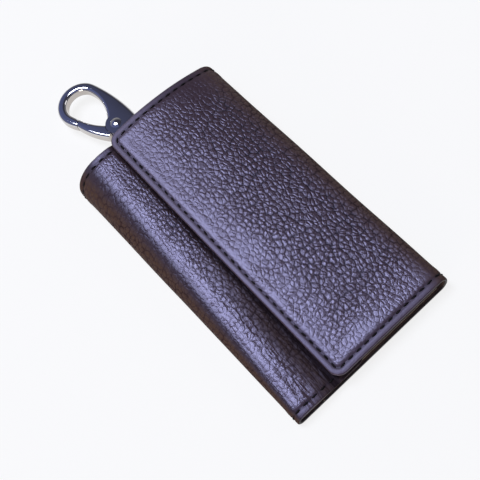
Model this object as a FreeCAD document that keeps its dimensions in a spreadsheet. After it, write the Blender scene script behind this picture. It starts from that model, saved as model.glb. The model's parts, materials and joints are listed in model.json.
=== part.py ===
import FreeCAD, Part
import math
import os
import Sketcher

# A folded leather key case, closed: back, two folds, an inner wing and an outer flap,
# a bar with six key hooks inside, and a trigger clasp on a strap at the thick end.
# X runs across the case, Y along it with the clasp at +Y, and Z up.
# The origin is the middle of the back's outer face, on the surface that the case lies on.
# All lengths are millimetres, and all angles are degrees.

doc = FreeCAD.newDocument("key_case")
sheet = doc.addObject("Spreadsheet::Sheet", "dims")

DIMENSIONS = {
    # The closed case, measured at its thin near end and its thick far end.
    "case_length": 112.0,
    "near_width": 63.0,
    "far_width": 62.0,
    # The left fold, round which the wing turns.
    "left_near_height": 4.3,
    "left_far_height": 16.0,
    "left_near_corner": 2.0,
    "left_far_corner": 4.0,
    "left_near_shoulder": 2.0,
    "left_far_shoulder": 10.5,
    # The right fold, round which the flap turns.
    "right_near_height": 6.5,
    "right_far_height": 14.4,
    "right_near_corner": 3.0,
    "right_far_corner": 5.0,
    "right_near_shoulder": 3.0,
    "right_far_shoulder": 6.0,
    # Where a fold is divided between the panels and the spine, and the slit there.
    "split_turn": 45.0,
    "split_slit": 3.0,
    # The wing falls from its shoulder to a bend. From there to its tip it is level, this far under the flap.
    "wing_near_drop": 1.475,
    "wing_far_drop": 3.035,
    "wing_bend": -11.8,
    "wing_tip": -2.0,
    # The flap rises from its shoulder, arches, and falls a little to its free edge.
    "flap_near_rise": 1.4,
    "flap_far_rise": 21.0,
    "flap_near_fall": 1.4,
    "flap_far_fall": 7.0,
    "flap_near_edge": -14.2,
    "flap_far_edge": -13.2,
    "panel_corner_round": 4.0,
    "edge_trim": 0.15,
    # The sheets that the panels are made of.
    "leather_thick": 1.0,
    "lining_thick": 0.6,
    "board_thick": 0.4,
    "lining_inset": 1.5,
    "lining_end_inset": 1.2,
    "back_inset": 0.8,
    # The hook bar.
    "plate_end_room": 2.7,
    "plate_depth": 12.0,
    "plate_thick": 0.8,
    "rod_back": 19.0,
    "rod_radius": 0.8,
    "barrel_radius": 1.9,
    "rod_fit": 0.03,
    "hook_fit": 0.05,
    "rivet_from_end": 3.2,
    "rivet_from_rod": 7.5,
    # The key hooks on the bar.
    "hook_end_room": 4.25,
    "hook_eye_width": 3.0,
    "hook_eye_radius": 1.7,
    "hook_eye_play": 0.2,
    "hook_thick": 1.6,
    "hook_half_width": 3.2,
    "hook_wire": 1.2,
    "hook_neck": 5.0,
    "hook_length": 21.0,
    "gate_start": 0.3,
    "gate_end_room": 2.8,
    "gate_wide": 0.7,
    "gate_thick": 1.2,
    "gate_lap": 0.6,
    "gate_play": 0.12,
    # Rivets of the plate and the strap.
    "post_radius": 1.2,
    "post_fit": 0.05,
    "flange_radius": 3.0,
    "flange_play": 0.1,
    "plate_head_radius": 2.6,
    "plate_head_rise": 0.9,
    "strap_head_radius": 3.2,
    "strap_head_rise": 1.1,
    "head_play": 0.1,
    # The clasp's strap, folded round the clasp's eye.
    "clasp_inside": 6.0,
    "clasp_up": 6.0,
    "clasp_yaw": 16.0,
    "strap_width": 8.0,
    "strap_thick": 1.2,
    "strap_tail": 4.2,
    "strap_level": 5.5,
    "strap_eye_play": 0.2,
    # The clasp's swivelling eye.
    "eye_bar_radius": 1.1,
    "eye_inner_width": 8.8,
    "eye_arm": 1.3,
    "eye_thick": 2.4,
    "eye_reach": 4.2,
    "eye_front": 1.8,
    "collar_radius": 2.8,
    "collar_length": 1.0,
    "swivel_radius": 1.5,
    "swivel_length": 5.0,
    "swivel_head_radius": 2.0,
    "swivel_head_length": 1.0,
    "swivel_fit": 0.06,
    # The clasp's body.
    "clasp_thick": 4.4,
    "socket_radius": 3.2,
    "socket_length": 6.4,
    "block_gap": 2.5,
    "block_half_width": 4.0,
    "pivot_side": -0.8,
    "pivot_from_block": 8.0,
    "pivot_block_radius": 3.9,
    "ring_from_pivot": 17.2,
    "ring_outer_radius": 8.8,
    "ring_inner_radius": 5.4,
    "parting_from_ring": 4.5,
    "parting_outer": 8.2,
    "throat_lean": 10.0,
    "edge_round": 1.2,
    # The clasp's trigger and its rivet.
    "trigger_play": 0.25,
    "trigger_travel": 25.0,
    "trigger_hub_thick": 1.0,
    "trigger_slot": 3.0,
    "trigger_tab_side": -6.6,
    "trigger_tab_drop": 0.7,
    "trigger_outer_bow": 12.0,
    "trigger_inner_bow": 12.0,
    "trigger_reach": 0.6,
    "trigger_round": 1.0,
    "pin_radius": 1.0,
    "pin_fit": 0.04,
    "pin_head_radius": 2.0,
    "pin_head_rise": 0.6,
    "spring_wire": 0.35,
    "spring_turns": 1.5,
    "spring_play": 0.15,
    # The hidden press studs that close the flap on the wing.
    "stud_across": -7.6,
    "stud_far_along": 38.0,
    "stud_near_along": 2.0,
    "stud_flange_radius": 4.0,
    "stud_flange_thick": 0.3,
    "stud_dome_radius": 2.4,
    "stud_dome_rise": 1.2,
    "stud_post_radius": 1.2,
    "stud_back_radius": 3.0,
    "stud_back_thick": 0.3,
    "socket_ring_radius": 4.4,
    "socket_bore_radius": 3.0,
    "socket_ring_height": 1.3,
    "socket_plate_thick": 0.3,
    "cap_radius": 4.2,
    "cap_thick": 0.25,
    "stud_fit": 0.1,
}


class Size:
    """A size that knows its value and the expression that drives it."""

    def __init__(self, text, value):
        self.text = text
        self.value = value

    def __add__(self, other):
        return combine(self, "+", other)

    def __radd__(self, other):
        return combine(other, "+", self)

    def __sub__(self, other):
        return combine(self, "-", other)

    def __rsub__(self, other):
        return combine(other, "-", self)

    def __mul__(self, other):
        return combine(self, "*", other)

    def __rmul__(self, other):
        return combine(other, "*", self)

    def __truediv__(self, other):
        return combine(self, "/", other)

    def __neg__(self):
        return combine(0, "-", self)


def as_size(value):
    if isinstance(value, Size):
        return value
    return Size(repr(float(value)), float(value))


def combine(first, sign, second):
    first = as_size(first)
    second = as_size(second)
    values = {
        "+": first.value + second.value,
        "-": first.value - second.value,
        "*": first.value * second.value,
        "/": first.value / second.value if second.value else 0.0,
    }
    return Size("(%s %s %s)" % (first.text, sign, second.text), values[sign])


def sine(angle):
    angle = as_size(angle)
    return Size("sin(%s)" % angle.text, math.sin(math.radians(angle.value)))


def cosine(angle):
    angle = as_size(angle)
    return Size("cos(%s)" % angle.text, math.cos(math.radians(angle.value)))


def tangent(angle):
    angle = as_size(angle)
    return Size("tan(%s)" % angle.text, math.tan(math.radians(angle.value)))


def arctangent(ratio):
    ratio = as_size(ratio)
    return Size("(atan(%s) / (1 deg))" % ratio.text, math.degrees(math.atan(ratio.value)))


def square_root(number):
    number = as_size(number)
    return Size("sqrt(%s)" % number.text, math.sqrt(number.value))


for row, (alias, number) in enumerate(DIMENSIONS.items(), start=1):
    sheet.set("A%d" % row, alias)
    sheet.set("B%d" % row, repr(number))
    sheet.setAlias("B%d" % row, alias)
doc.recompute()


def dim(alias):
    return Size("dims.%s" % alias, float(sheet.get(alias)))


def bind(thing, prop, size):
    thing.setExpression(prop, as_size(size).text)


def place(thing, x=0, y=0, z=0, axis=(0, 0, 1), turn=None):
    """Put a sub-part at a point, turned about one axis."""
    rotation = FreeCAD.Rotation(FreeCAD.Vector(*axis), as_size(turn or 0).value)
    point = FreeCAD.Vector(as_size(x).value, as_size(y).value, as_size(z).value)
    thing.Placement = FreeCAD.Placement(point, rotation)
    bind(thing, "Placement.Base.x", x)
    bind(thing, "Placement.Base.y", y)
    bind(thing, "Placement.Base.z", z)
    if turn is not None:
        bind(thing, "Placement.Rotation.Angle", turn)


# Sketches: an outline is a list of (point, arc), where the arc is None for a straight edge
# to the next point, or (radius, a point on the arc).


def new_body(label):
    body = doc.addObject("PartDesign::Body", label)
    body.Label = label
    return body


def new_sketch(body, name, role, offset=None):
    sketch = body.newObject("Sketcher::SketchObject", name)
    planes = [item for item in body.Origin.OriginFeatures if item.Role == role]
    sketch.AttachmentSupport = [(planes[0], "")]
    sketch.MapMode = "FlatFace"
    if offset is not None:
        bind(sketch, "AttachmentOffset.Base.z", offset)
    return sketch


def vector(point):
    return FreeCAD.Vector(as_size(point[0]).value, as_size(point[1]).value, 0)


def hold(sketch, kind, where, size):
    """Add one dimension to a sketch and drive it from the sheet."""
    size = as_size(size)
    number = sketch.addConstraint(Sketcher.Constraint(kind, *where, size.value))
    name = "size%d" % number
    sketch.renameConstraint(number, name)
    sketch.setExpression("Constraints.%s" % name, size.text)


def draw_outline(sketch, outline):
    ends = []
    for index, (point, arc) in enumerate(outline):
        start = vector(point)
        finish = vector(outline[(index + 1) % len(outline)][0])
        if arc is None:
            edge = sketch.addGeometry(Part.LineSegment(start, finish))
            ends.append((edge, 1, 2))
        else:
            curve = Part.Arc(start, vector(arc[1]), finish)
            edge = sketch.addGeometry(curve)
            drawn = sketch.getPoint(edge, 1)
            forward = drawn.distanceToPoint(start) < drawn.distanceToPoint(finish)
            ends.append((edge, 1, 2) if forward else (edge, 2, 1))
    for index, (edge, first, last) in enumerate(ends):
        following = ends[(index + 1) % len(ends)]
        sketch.addConstraint(Sketcher.Constraint("Coincident", edge, last, following[0], following[1]))
    for (point, arc), (edge, first, last) in zip(outline, ends):
        hold(sketch, "DistanceX", (edge, first), point[0])
        hold(sketch, "DistanceY", (edge, first), point[1])
        if arc is not None:
            hold(sketch, "Radius", (edge,), arc[0])


def draw_circle(sketch, centre, radius):
    radius = as_size(radius)
    ring = sketch.addGeometry(Part.Circle(vector(centre), FreeCAD.Vector(0, 0, 1), radius.value))
    hold(sketch, "DistanceX", (ring, 3), centre[0])
    hold(sketch, "DistanceY", (ring, 3), centre[1])
    hold(sketch, "Radius", (ring,), radius)


def straight(points):
    return [(point, None) for point in points]


def half_circle(centre, radius, first, middle):
    """Two quarter arcs about a centre, from one direction through another to its opposite."""
    last = (-first[0], -first[1])
    arcs = []
    for start, finish in ((first, middle), (middle, last)):
        at_start = (centre[0] + radius * start[0], centre[1] + radius * start[1])
        reach = radius * math.sqrt(0.5)
        via = (centre[0] + reach * (start[0] + finish[0]), centre[1] + reach * (start[1] + finish[1]))
        arcs.append((at_start, (radius, via)))
    return arcs


def bow(start, finish, half_turn, left):
    """An arc edge that turns by twice half_turn degrees; left is 1 if it swells leftwards, or -1."""
    run = (finish[0] - start[0], finish[1] - start[1])
    length = square_root(run[0] * run[0] + run[1] * run[1])
    radius = length / (2 * sine(half_turn))
    rise = length * tangent(as_size(half_turn) / 2) / 2
    middle_x = (start[0] + finish[0]) / 2 - run[1] / length * rise * left
    middle_y = (start[1] + finish[1]) / 2 + run[0] / length * rise * left
    return (radius, (middle_x, middle_y))


# The common ways of making a piece from outlines.


def pad(label, role, outlines, thick, offset=None, circles=(), middle=False):
    body = new_body(label)
    sketch = new_sketch(body, label + "_outline", role, offset)
    for outline in outlines:
        draw_outline(sketch, outline)
    for centre, radius in circles:
        draw_circle(sketch, centre, radius)
    feature = body.newObject("PartDesign::Pad", label + "_pad")
    feature.Profile = sketch
    bind(feature, "Length", thick)
    feature.Midplane = middle
    return body


def spin(label, outline):
    """A round piece: its half outline, with radius and height, turned about Z."""
    body = new_body(label)
    sketch = new_sketch(body, label + "_outline", "XZ_Plane")
    draw_outline(sketch, outline)
    feature = body.newObject("PartDesign::Revolution", label + "_turned")
    feature.Profile = sketch
    feature.ReferenceAxis = (sketch, ["V_Axis"])
    feature.Angle = 360
    return body


def dome(radius, base, rise):
    """The edge of a domed head, from its rim to its top on the axis."""
    rim = (radius, base)
    top = (as_size(0), base + rise)
    return [(rim, bow(rim, top, arctangent(rise / radius), -1)), (top, None)]


def cylinder(name, radius, height):
    solid = doc.addObject("Part::Cylinder", name)
    bind(solid, "Radius", radius)
    bind(solid, "Height", height)
    return solid


def cut(label, base, tool):
    result = doc.addObject("Part::Cut", label)
    result.Label = label
    result.Base = base
    result.Tool = tool
    return result


def fuse(name, shapes):
    result = doc.addObject("Part::MultiFuse", name)
    result.Shapes = shapes
    return result


def group(label, members):
    result = doc.addObject("Part::Compound", label)
    result.Label = label
    result.Links = members
    return result


# The leather: cross-sections of the near and far ends, joined by straight lines.

LEFT = -1
RIGHT = 1
leather = dim("leather_thick")
lining = dim("lining_thick")
lined = leather + lining
half_length = dim("case_length") / 2


class Fold:
    """One side of the closed case at one end: a bottom corner, a side and a shoulder."""

    def __init__(self, side, end):
        name = "left" if side == LEFT else "right"
        self.side = side
        self.half_width = dim(end + "_width") / 2
        self.corner = dim("%s_%s_corner" % (name, end))
        self.shoulder = dim("%s_%s_shoulder" % (name, end))
        self.height = dim("%s_%s_height" % (name, end))

    def corner_point(self, turn, depth):
        """A point of the bottom corner, turned up from the back, this deep in the leather."""
        reach = self.corner - depth
        across = self.half_width - self.corner + reach * sine(turn)
        return (across * self.side, self.corner - reach * cosine(turn))

    def shoulder_point(self, turn, depth):
        """A point of the shoulder, turned up from the side."""
        reach = self.shoulder - depth
        across = self.half_width - self.shoulder + reach * cosine(turn)
        return (across * self.side, self.height - self.shoulder + reach * sine(turn))

    def corner_arc(self, first, last, depth):
        via = self.corner_point((as_size(first) + last) / 2, depth)
        return (self.corner_point(first, depth), (self.corner - depth, via))

    def shoulder_arc(self, first, last, depth):
        via = self.shoulder_point((as_size(first) + last) / 2, depth)
        return (self.shoulder_point(first, depth), (self.shoulder - depth, via))


split = dim("split_turn")
slit = dim("split_slit")


def lip_section(side, end):
    """The lower lip of a fold, which belongs to the back."""
    fold = Fold(side, end)
    return [
        fold.corner_arc(0, split, 0),
        (fold.corner_point(split, 0), None),
        fold.corner_arc(split, 0, leather),
        (fold.corner_point(0, leather), None),
    ]


def spine_section(side, end, outside, inside):
    """The middle of a fold, between two depths."""
    fold = Fold(side, end)
    low = split + slit
    high = split - slit
    return [
        fold.corner_arc(low, 90, outside),
        (fold.corner_point(90, outside), None),
        fold.shoulder_arc(0, high, outside),
        (fold.shoulder_point(high, outside), None),
        fold.shoulder_arc(high, 0, inside),
        (fold.shoulder_point(0, inside), None),
        fold.corner_arc(90, low, inside),
        (fold.corner_point(low, inside), None),
    ]


class Arch:
    """The flap's arch at one end, from the end of its shoulder to its free edge."""

    def __init__(self, end):
        fold = Fold(RIGHT, end)
        self.rise = dim("flap_%s_rise" % end)
        self.fall = dim("flap_%s_fall" % end)
        start = fold.shoulder_point(90 - self.rise, 0)
        span = start[0] - dim("flap_%s_edge" % end)
        self.radius = span / (sine(self.rise) + sine(self.fall))
        self.centre_x = start[0] - self.radius * sine(self.rise)
        self.centre_z = start[1] - self.radius * cosine(self.rise)

    def point(self, lean, depth):
        """A point where the flap's face leans this far to the right."""
        reach = self.radius - depth
        return (self.centre_x + reach * sine(lean), self.centre_z + reach * cosine(lean))

    def arc(self, first, last, depth):
        return (self.point(first, depth), (self.radius - depth, self.point((first + last) / 2, depth)))


def flap_level(end, depth):
    """The height of the flap's face above the studs at one end."""
    arch = Arch(end)
    reach = arch.radius - depth
    offset = dim("stud_across") - arch.centre_x
    return arch.centre_z + square_root(reach * reach - offset * offset)


def wing_level(end):
    """The height of the wing's level part at one end, below the flap."""
    return flap_level(end, leather) - dim("wing_%s_drop" % end)


def wing_fall(end):
    """How steeply the wing falls: the line from its bend just touches the shoulder."""
    fold = Fold(LEFT, end)
    run = dim("wing_bend") + fold.half_width - fold.shoulder
    rise = wing_level(end) - fold.height + fold.shoulder
    touch = square_root(run * run + rise * rise - fold.shoulder * fold.shoulder)
    return 90 - arctangent(rise / run) - arctangent(touch / fold.shoulder)


def wing_line(end, depth):
    """The wing's points at one depth: the end of its shoulder, its bend and its tip."""
    fold = Fold(LEFT, end)
    fall = wing_fall(end)
    level = wing_level(end)
    bend = (dim("wing_bend") - depth * tangent(fall / 2), level - depth)
    tip = (dim("wing_tip"), level - depth)
    return (fold.shoulder_point(90 + fall, depth), bend, tip)


def wing_section(end):
    fold = Fold(LEFT, end)
    fall = wing_fall(end)
    outer = wing_line(end, as_size(0))
    inner = wing_line(end, leather)
    return (
        [fold.shoulder_arc(split, 90 + fall, 0)]
        + straight(outer)
        + straight([inner[2], inner[1]])
        + [fold.shoulder_arc(90 + fall, split, leather)]
        + [(fold.shoulder_point(split, leather), None)]
    )


def wing_lining_section(end):
    return straight(list(wing_line(end, leather)) + list(reversed(wing_line(end, lined))))


def flap_section(end):
    fold = Fold(RIGHT, end)
    arch = Arch(end)
    top = 90 - arch.rise
    edge = -arch.fall
    return [
        fold.shoulder_arc(split, top, 0),
        arch.arc(arch.rise, edge, 0),
        (arch.point(edge, 0), None),
        arch.arc(edge, arch.rise, leather),
        fold.shoulder_arc(top, split, leather),
        (fold.shoulder_point(split, leather), None),
    ]


def flap_lining_section(end):
    arch = Arch(end)
    edge = -arch.fall
    return [
        arch.arc(arch.rise, edge, leather),
        (arch.point(edge, leather), None),
        arch.arc(edge, arch.rise, lined),
        (arch.point(arch.rise, lined), None),
    ]


def loft(label, section):
    """A sheet from its near section to its far section."""
    body = new_body(label)
    near = new_sketch(body, label + "_near", "XZ_Plane", half_length)
    draw_outline(near, section("near"))
    far = new_sketch(body, label + "_far", "XZ_Plane", -half_length)
    draw_outline(far, section("far"))
    sheet_feature = body.newObject("PartDesign::AdditiveLoft", label + "_loft")
    sheet_feature.Profile = near
    sheet_feature.Sections = [far]
    sheet_feature.Ruled = True
    return body


def overlap(label, base, tool):
    result = doc.addObject("Part::Common", label)
    result.Label = label
    result.Base = base
    result.Tool = tool
    return result


def shortened(label, sheet_body):
    """A lining cut back a little from both ends of the leather."""
    inset = dim("lining_end_inset")
    room = doc.addObject("Part::Box", label + "_room")
    bind(room, "Length", 2 * dim("near_width"))
    bind(room, "Width", dim("case_length") - 2 * inset)
    bind(room, "Height", 2 * dim("left_far_height"))
    place(room, -dim("near_width"), inset - half_length, 0)
    return overlap(label, sheet_body, room)


def trimmed(label, sheet_body, near_x, far_x, away, end_inset):
    """A panel trimmed to its outline in plan: a straight free edge with two round corners.

    The panel reaches from its free edge towards +X if away is 1, or -X if it is -1.
    """
    round_off = dim("panel_corner_round") - end_inset
    reach = round_off * math.sqrt(0.5)
    beyond = dim("near_width") * away
    near_y = as_size(end_inset) - half_length
    far_y = half_length - end_inset
    near_centre = (near_x + round_off * away, near_y + round_off)
    far_centre = (far_x + round_off * away, far_y - round_off)
    outline = [
        ((beyond, near_y), None),
        ((near_centre[0], near_y), (round_off, (near_centre[0] - reach * away, near_centre[1] - reach))),
        ((near_x, near_centre[1]), None),
        ((far_x, far_centre[1]), (round_off, (far_centre[0] - reach * away, far_centre[1] + reach))),
        ((far_centre[0], far_y), None),
        ((beyond, far_y), None),
    ]
    room = pad(label + "_outline", "XY_Plane", [outline], 2 * dim("left_far_height"))
    return overlap(label, sheet_body, room)


def round_rims(body, thick, beyond, radius):
    """Round the curved edges of both flat faces of a plate, beyond a place along it."""
    doc.recompute()
    base = body.Tip
    names = []
    for number, edge in enumerate(base.Shape.Edges, start=1):
        middle = edge.CenterOfMass
        on_face = abs(abs(middle.z) - thick.value / 2) < 0.01
        curved = not isinstance(edge.Curve, Part.Line)
        if on_face and curved and middle.y > beyond.value:
            names.append("Edge%d" % number)
    feature = body.newObject("PartDesign::Fillet", body.Label + "_rims")
    feature.Base = (base, names)
    bind(feature, "Radius", radius)


def back_sheet(label, bottom, thick, inset, end_inset, circles=()):
    """A flat sheet of the back, following the lines where its folds begin."""
    corners = []
    for side, end in ((LEFT, "near"), (RIGHT, "near"), (RIGHT, "far"), (LEFT, "far")):
        fold = Fold(side, end)
        across = (fold.half_width - fold.corner - inset) * side
        along = (half_length - end_inset) * (1 if end == "far" else -1)
        corners.append((across, along))
    return pad(label, "XY_Plane", [straight(corners)], thick, offset=bottom, circles=circles)


board = dim("board_thick")
board_top = leather + board
floor_level = board_top + lining
plate_top = floor_level + dim("plate_thick")

yaw = dim("clasp_yaw")
clasp_along = half_length - dim("clasp_inside")
rod_along = clasp_along - dim("rod_back")
rivet_along = rod_along + dim("rivet_from_rod")
strap_back = (clasp_along - rivet_along) / cosine(yaw)
board_half = dim("far_width") / 2 - dim("right_far_corner") - dim("back_inset")
plate_half = board_half - dim("plate_end_room")
plate_rivet_across = plate_half - dim("rivet_from_end")
rivet_centres = [
    (strap_back * sine(yaw), rivet_along),
    (plate_rivet_across, rivet_along),
    (-plate_rivet_across, rivet_along),
]
flange_hole = dim("flange_radius") + dim("flange_play")
post_hole = dim("post_radius") + dim("post_fit")

back_inset = dim("back_inset")
end_inset = dim("lining_end_inset")
flange_holes = [(centre, flange_hole) for centre in rivet_centres]
post_holes = [(centre, post_hole) for centre in rivet_centres]
back_leather = fuse(
    "back_leather",
    [
        back_sheet("back_flat", 0, leather, 0, 0),
        loft("left_lip", lambda end: lip_section(LEFT, end)),
        loft("right_lip", lambda end: lip_section(RIGHT, end)),
    ],
)
back_leather.Label = "back_leather"
back_board = back_sheet("back_board", leather, board, back_inset, end_inset, flange_holes)
back_lining = back_sheet("back_lining", board_top, lining, back_inset, end_inset, post_holes)


def spine_sheet(label, side, outside, inside):
    return loft(label, lambda end: spine_section(side, end, outside, inside))


outer_face = as_size(0)
left_spine_leather = spine_sheet("left_spine_leather", LEFT, outer_face, leather)
left_spine_lining = shortened(
    "left_spine_lining", spine_sheet("left_lining_loft", LEFT, leather, lined)
)
right_spine_leather = spine_sheet("right_spine_leather", RIGHT, outer_face, leather)
right_spine_lining = shortened(
    "right_spine_lining", spine_sheet("right_lining_loft", RIGHT, leather, lined)
)

edge_trim = dim("edge_trim")
lining_inset = dim("lining_inset")

wing_edge = dim("wing_tip") - edge_trim
wing_sheet = trimmed("wing_sheet", loft("wing_loft", wing_section), wing_edge, wing_edge, LEFT, 0)
wing_lining_sheet = trimmed(
    "wing_lining_sheet",
    loft("wing_lining_loft", wing_lining_section),
    wing_edge - lining_inset,
    wing_edge - lining_inset,
    LEFT,
    end_inset,
)

flap_near_edge = dim("flap_near_edge") + edge_trim
flap_far_edge = dim("flap_far_edge") + edge_trim
flap_loft = loft("flap_loft", flap_section)
flap_sheet = trimmed("flap_sheet", flap_loft, flap_near_edge, flap_far_edge, RIGHT, 0)
flap_lining_sheet = trimmed(
    "flap_lining_sheet",
    loft("flap_lining_loft", flap_lining_section),
    flap_near_edge + lining_inset,
    flap_far_edge + lining_inset,
    RIGHT,
    end_inset,
)

# The press studs: each stands square on the panel that carries it.

across = dim("stud_across")


def panel_height(near_z, far_z, along):
    """The height of a panel at a place along it, from its two ends."""
    return near_z + (far_z - near_z) * (along + half_length) / dim("case_length")


def panel_pitch(near_z, far_z):
    return arctangent((far_z - near_z) / dim("case_length"))


wing_ends = [wing_line(end, as_size(0))[2][1] for end in ("near", "far")]
wing_pitch = panel_pitch(*wing_ends)
flap_ends = [flap_level(end, leather) for end in ("near", "far")]
flap_pitch = panel_pitch(*flap_ends)
stud_places = {"far": dim("stud_far_along"), "near": dim("stud_near_along")}


def on_wing(thing, along, rise):
    """Stand a piece on the wing's outer face, this far above it."""
    height = panel_height(*wing_ends, along)
    place(
        thing,
        across,
        along - rise * sine(wing_pitch),
        height + rise * cosine(wing_pitch),
        (1, 0, 0),
        wing_pitch,
    )
    return thing


def under_flap(thing, along, drop):
    """Hang a piece below the flap leather's inner face, upright, this far below it."""
    height = panel_height(*flap_ends, along)
    place(
        thing,
        across,
        along + drop * sine(flap_pitch),
        height - drop * cosine(flap_pitch),
        (1, 0, 0),
        flap_pitch,
    )
    return thing


fit = dim("stud_fit")
flange = dim("stud_flange_thick")
stud_back = dim("stud_back_thick")
cap = dim("cap_thick")
socket_height = dim("socket_ring_height")


def make_stud(name):
    """The stud: a flange let into the wing and a low dome."""
    return spin(
        name,
        straight([(0, 0), (dim("stud_flange_radius"), 0), (dim("stud_flange_radius"), flange)])
        + dome(dim("stud_dome_radius"), flange, dim("stud_dome_rise")),
    )


def make_stud_back(name):
    """The post that holds the stud from behind, under the wing's lining."""
    length = stud_back + leather - flange - 2 * fit
    return spin(
        name,
        straight(
            [
                (0, 0),
                (dim("stud_back_radius"), 0),
                (dim("stud_back_radius"), stud_back - fit),
                (dim("stud_post_radius"), stud_back - fit),
                (dim("stud_post_radius"), length),
                (0, length),
            ]
        ),
    )


def make_socket(name):
    """The socket: a ring with a plate across its top, open downwards."""
    plate = socket_height - dim("socket_plate_thick")
    hole = dim("stud_post_radius") + fit
    return spin(
        name,
        straight(
            [
                (dim("socket_bore_radius"), 0),
                (dim("socket_ring_radius"), 0),
                (dim("socket_ring_radius"), socket_height),
                (hole, socket_height),
                (hole, plate),
                (dim("socket_bore_radius"), plate),
            ]
        ),
    )


def make_cap(name):
    """The hidden cap behind the socket, under the flap's leather."""
    post = dim("socket_plate_thick")
    return spin(
        name,
        straight(
            [
                (0, 0),
                (dim("stud_post_radius"), 0),
                (dim("stud_post_radius"), post),
                (dim("cap_radius"), post),
                (dim("cap_radius"), post + cap),
                (0, post + cap),
            ]
        ),
    )


studs = []
stud_backs = []
sockets = []
caps = []
wing_holes = []
wing_lining_holes = []
flap_seats = []
flap_lining_holes = []
for end, along in stud_places.items():
    studs.append(on_wing(make_stud("stud_" + end), along, -flange))
    stud_backs.append(on_wing(make_stud_back("stud_back_" + end), along, -leather - stud_back + fit))
    sockets.append(under_flap(make_socket("socket_" + end), along, cap + socket_height + 2 * fit))
    caps.append(under_flap(make_cap("cap_" + end), along, cap + fit + dim("socket_plate_thick")))
    seat = cylinder("stud_seat_" + end, dim("stud_flange_radius") + fit, 2 * flange + fit)
    wing_holes.append(on_wing(seat, along, -flange - fit))
    hole = cylinder("stud_hole_" + end, dim("stud_post_radius") + fit, 2 * leather)
    wing_holes.append(on_wing(hole, along, -1.5 * leather))
    recess = cylinder("stud_recess_" + end, dim("stud_back_radius") + fit, 2 * leather + stud_back)
    wing_lining_holes.append(on_wing(recess, along, -leather - stud_back - fit))
    seat = cylinder("cap_seat_" + end, dim("cap_radius") + fit, socket_height)
    flap_seats.append(under_flap(seat, along, socket_height))
    hole = cylinder("socket_hole_" + end, dim("socket_ring_radius") + fit, 2 * lined)
    flap_lining_holes.append(under_flap(hole, along, lined + lining))

wing_leather = cut("wing_leather", wing_sheet, fuse("wing_holes", wing_holes))
wing_lining = cut("wing_lining", wing_lining_sheet, fuse("wing_lining_holes", wing_lining_holes))
flap_leather = cut("flap_leather", flap_sheet, fuse("flap_seats", flap_seats))
flap_lining = cut("flap_lining", flap_lining_sheet, fuse("flap_lining_holes", flap_lining_holes))
snap_studs = group("snap_studs", studs)
snap_stud_backs = group("snap_stud_backs", stud_backs)
snap_sockets = group("snap_sockets", sockets)
snap_caps = group("snap_caps", caps)

# The hook bar: a plate whose near edge is rolled round a rod, with a slot for each hook.

HOOKS = 6
barrel = dim("barrel_radius")
rod_up = floor_level + barrel
plate_rise = barrel - dim("plate_thick")
barrel_meets = rod_along + square_root(barrel * barrel - plate_rise * plate_rise)
plate_end = rod_along + dim("plate_depth")
slot_half = dim("hook_eye_width") / 2 + dim("hook_eye_play")


def hook_across(number):
    outermost = plate_half - dim("hook_end_room")
    return outermost * (2 * number / (HOOKS - 1) - 1)


plate_outline = [
    ((plate_end, floor_level), None),
    *half_circle((rod_along, rod_up), barrel, (0, -1), (-1, 0)),
    ((rod_along, rod_up + barrel), (barrel, (rod_along + barrel, rod_up))),
    ((barrel_meets, plate_top), None),
    ((plate_end, plate_top), None),
]
plate_bar = pad(
    "plate_bar",
    "YZ_Plane",
    [plate_outline],
    2 * plate_half,
    circles=[((rod_along, rod_up), dim("rod_radius") + dim("rod_fit"))],
    middle=True,
)
plate_cuts = []
for number in range(HOOKS):
    slot = doc.addObject("Part::Box", "hook_slot_%d" % (number + 1))
    bind(slot, "Length", 2 * slot_half)
    bind(slot, "Width", 2 * barrel + 2 * dim("hook_eye_play") + dim("plate_thick"))
    bind(slot, "Height", 4 * barrel)
    slot_start = rod_along - barrel - dim("hook_eye_play")
    place(slot, hook_across(number) - slot_half, slot_start, floor_level - barrel)
    plate_cuts.append(slot)
for number, (x, y) in enumerate(rivet_centres):
    hole = cylinder("plate_hole_%d" % number, post_hole, 4 * dim("plate_thick"))
    place(hole, x, y, floor_level - dim("plate_thick"))
    plate_cuts.append(hole)
hook_plate = cut("hook_plate", plate_bar, fuse("plate_cuts", plate_cuts))

hook_rod = cylinder("hook_rod", dim("rod_radius"), 2 * plate_half)
hook_rod.Label = "hook_rod"
place(hook_rod, -plate_half, rod_along, rod_up, (0, 1, 0), as_size(90))


def make_rivet(name, x, y, grip, head_radius, head_rise):
    """A rivet from a flange in the back's board, up through what it holds, to a domed head."""
    post = dim("post_radius")
    wide = dim("flange_radius")
    thick = board - dim("flange_play")
    body = spin(
        name,
        straight([(0, 0), (wide, 0), (wide, thick), (post, thick), (post, grip)])
        + dome(head_radius, grip, head_rise),
    )
    place(body, x, y, leather + dim("flange_play") / 2)
    return body


plate_grip = board + lining + dim("plate_thick") + dim("head_play") / 2
plate_rivets = group(
    "plate_rivets",
    [
        make_rivet(
            "plate_rivet_%d" % number,
            rivet_centres[number][0],
            rivet_centres[number][1],
            plate_grip,
            dim("plate_head_radius"),
            dim("plate_head_rise"),
        )
        for number in (1, 2)
    ],
)
strap_grip = plate_grip + 2 * dim("strap_thick") + dim("head_play")
strap_rivet = make_rivet(
    "strap_rivet",
    rivet_centres[0][0],
    rivet_centres[0][1],
    strap_grip,
    dim("strap_head_radius"),
    dim("strap_head_rise"),
)

# The key hooks: an eye on the rod, a neck, and a loop with a gap that the gate closes.

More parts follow.
